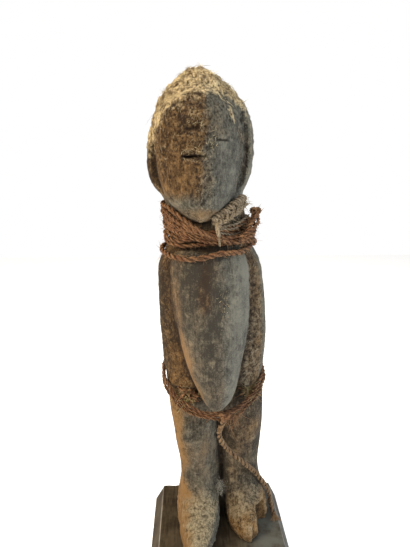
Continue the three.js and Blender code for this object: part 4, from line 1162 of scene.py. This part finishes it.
# A fine grey web with lint in it, between the ankles.
web = {"at": (0.0, 6.0, 62.5), "size": (4.2, 5.0, 7.5), "threads": 150, "lint": 46}
webFinish = Finish(bpy.data.materials.new("grey_web"))
webTone = webFinish.noise(webFinish.place(), 1.5, 3)
webMaterial = webFinish.surface({"Roughness": 0.95, "Base Color": webFinish.blend(
    (0.070, 0.064, 0.050), (0.340, 0.325, 0.280), webFinish.ramp(webTone, 0.38, 0.62))})
threads = Threads()
for count, length, thickness in ((web["threads"], 6.0, 0.18), (web["lint"], 0.9, 0.8)):
    starts = np.array(web["at"]) + np.array(web["size"]) * unit(dice.normal(size=(count, 3))) * dice.uniform(
        0.1, 1.0, (count, 1)) ** 0.6
    addFibres(threads, starts, unit(dice.normal(size=(count, 3))), 0.4 * dice.normal(size=(count, 3)),
              length * dice.uniform(0.5, 1.0, count), thickness, taper=0.6)
threads.piece("ankle_web", webMaterial, "raffia")
print("straw and web scattered")

# The stand: a square block whose sides slope out to its foot, with rounded edges, a little worn.
stand = {"top": 112.0, "foot": 130.0, "height": 24.0, "round": 1.1, "corner": 1.4, "columns": 480, "wear": 0.35}


def standGrid():
    half, low, tall, edge = stand["top"] / 2, stand["foot"] / 2, stand["height"], stand["round"]
    quarter = np.linspace(0, np.pi / 2, 6)
    under = [[share * (low - edge), 0.0] for share in (0.02, 0.3, 0.6, 0.85)]
    foot = np.stack([low - edge + edge * np.sin(quarter), edge - edge * np.cos(quarter)], axis=1)
    sides = np.linspace([low, edge], [half, tall - edge], 14)[1:-1]
    shoulder = np.stack([half - edge + edge * np.cos(quarter), tall - edge + edge * np.sin(quarter)], axis=1)
    top = [[share * (half - edge), tall] for share in (0.97, 0.94, 0.88, 0.8, 0.7, 0.6, 0.48, 0.36, 0.24, 0.12, 0.01)]
    profile = np.concatenate([under, foot, sides, shoulder, top])
    t = (np.arange(stand["columns"]) + 0.5) / stand["columns"] * 4
    side = np.floor(t)
    place = 2 * (t - side) - 1
    angle = side * np.pi / 2
    across = np.stack([np.cos(angle) - place * np.sin(angle), np.sin(angle) + place * np.cos(angle)], axis=1)
    reach = profile[:, :1, None] * across[None]
    corner = stand["corner"]
    limit = profile[:, :1] - corner
    past = np.maximum(np.abs(reach) - limit[..., None], 0)
    long = np.maximum(np.linalg.norm(past, axis=-1, keepdims=True), 1e-6)
    pulled = np.sign(reach) * (np.minimum(np.abs(reach), limit[..., None]) + past * np.minimum(1, corner / long))
    x, y = np.moveaxis(pulled, -1, 0)
    return np.stack([x, y, np.broadcast_to(profile[:, 1:], x.shape)], axis=-1)


standPoints, standFaces = tubes(standGrid()[None])
standMesh = newMesh("stand_block", (standPoints, standFaces))
standNormals = readNormals(standMesh)
rim = np.clip(smoothStep(np.abs(standPoints[:, 0]), 51, 56) + smoothStep(np.abs(standPoints[:, 1]), 51, 56), 0, 1)
dents = layeredNoise(standPoints, 9.0, 3, 91)
worn = rim * smoothStep(standPoints[:, 2], 20, 23.6)
standPoints = standPoints - standNormals * (stand["wear"] * worn * smoothStep(dents, 0.1, 0.9))[:, None]
standPoints[:, 2] = np.clip(standPoints[:, 2], 0, stand["height"])
writePoints(standMesh, standPoints)
steep = 1 - np.abs(standNormals[:, 2])
edgeWear = worn * smoothStep(steep, 0.1, 0.5) * (1 - smoothStep(steep, 0.8, 0.95))

black = Finish(bpy.data.materials.new("black_stand"))
brushed = black.noise(black.place((1, 0.12, 1)), 2.2, 4, 0.6)
cloud = black.noise(black.place(), 22, 4, 0.6)
grit = black.noise(black.place(), 0.8, 3, 0.7)
paint = black.blend((0.026, 0.019, 0.012), (0.078, 0.060, 0.038), black.ramp(0.6 * cloud + 0.4 * brushed, 0.38, 0.66))
paint = black.blend(paint, (0.110, 0.092, 0.068), black.ramp(grit, 0.60, 0.78) * 0.40)
paint = black.blend(paint, (0.095, 0.097, 0.086), black.mark("worn") * black.ramp(cloud, 0.30, 0.60))
paint = black.blend(paint, (0.030, 0.021, 0.013), black.mark("side") * 0.85)
paint = black.blend(paint, (0.30, 0.27, 0.23), black.mark("edge") * black.ramp(cloud + 0.4 * grit, 0.45, 0.85) * 0.9)
# Painted reflection of the right foot: a reddish-brown patch on the top, in front of it and to its right.
paint = black.blend(paint, (0.085, 0.036, 0.018), black.mark("footReflection") * 0.8)
standFinish = black.surface({"Base Color": paint, "Roughness": black.ramp(brushed, 0.3, 0.7, 0.60, 0.78),
                             "Normal": black.bump(0.5 * brushed + grit, 0.15, 0.5), "Specular IOR Level": 0.06})
# Where the painted reflection of the right foot lies on the stand's top.
footReflection = bell(standPoints[:, 0] - 50, 6) * bell(standPoints[:, 1] + 34, 7) * smoothStep(standPoints[:, 2], 22, 23.9)
newPiece("stand_block", standMesh, standFinish, ["stand"], {
    "edge": edgeWear, "footReflection": footReflection, "worn": smoothStep(standPoints[:, 0], 10, 40),
    "side": smoothStep(steep, 0.5, 0.9)})
print("stand made")

# Studio: a pale floor, a warm soft light at the left, a cooler one at the right and one above.
studio = {
    "floor": 3.0, "sky": 0.30, "floorGlow": 0.55, "target": (0, 0, 0.22),
    "lamps": {
        "left": {"place": (-1.05, -0.55, 0.95), "size": 0.55, "power": 24, "colour": (1.0, 0.85, 0.63)},
        "right": {"place": (1.10, -0.50, 0.55), "size": 0.60, "power": 13, "colour": (0.82, 0.91, 1.0)},
        "above": {"place": (-0.10, -0.15, 1.45), "size": 0.50, "power": 9, "colour": (1.0, 0.94, 0.84)},
    },
}
corners = np.array([[-1, -1, 0], [1, -1, 0], [1, 1, 0], [-1, 1, 0]]) * [500, 500, 1] * studio["floor"] - [0, 0, 0.2]
floor = bpy.data.objects.new("floor", newMesh("floor", (corners, [np.array([[0, 1, 2, 3]])])))
bpy.context.scene.collection.objects.link(floor)
paper = Finish(bpy.data.materials.new("pale_floor"))
fleck = paper.noise(paper.place(), 40, 3)
floor.data.materials.append(paper.surface({
    "Base Color": paper.blend((0.86, 0.86, 0.86), (0.90, 0.90, 0.90), fleck), "Roughness": 0.9,
    "Emission Color": (1.0, 1.0, 1.0), "Emission Strength": studio["floorGlow"]}))

for name, lamp in studio["lamps"].items():
    light = bpy.data.lights.new(name, "AREA")
    light.size = lamp["size"]
    light.energy = lamp["power"]
    light.color = lamp["colour"]
    holder = bpy.data.objects.new(name, light)
    holder.location = lamp["place"]
    holder.rotation_euler = (Vector(studio["target"]) - Vector(lamp["place"])).to_track_quat("-Z", "Y").to_euler()
    bpy.context.scene.collection.objects.link(holder)

world = bpy.data.worlds.new("studio")
bpy.context.scene.world = world
air = Finish(world)
seen = air.node("ShaderNodeLightPath", {}, {}, "Is Camera Ray")
glow = air.node("ShaderNodeBackground", {}, {
    "Color": (1.0, 1.0, 1.0), "Strength": air.ramp(seen, 0, 1, studio["sky"], 1.0)})
air.node("ShaderNodeOutputWorld", {}, {"Surface": glow})
bpy.context.scene.view_settings.view_transform = "Standard"
print("studio lit")
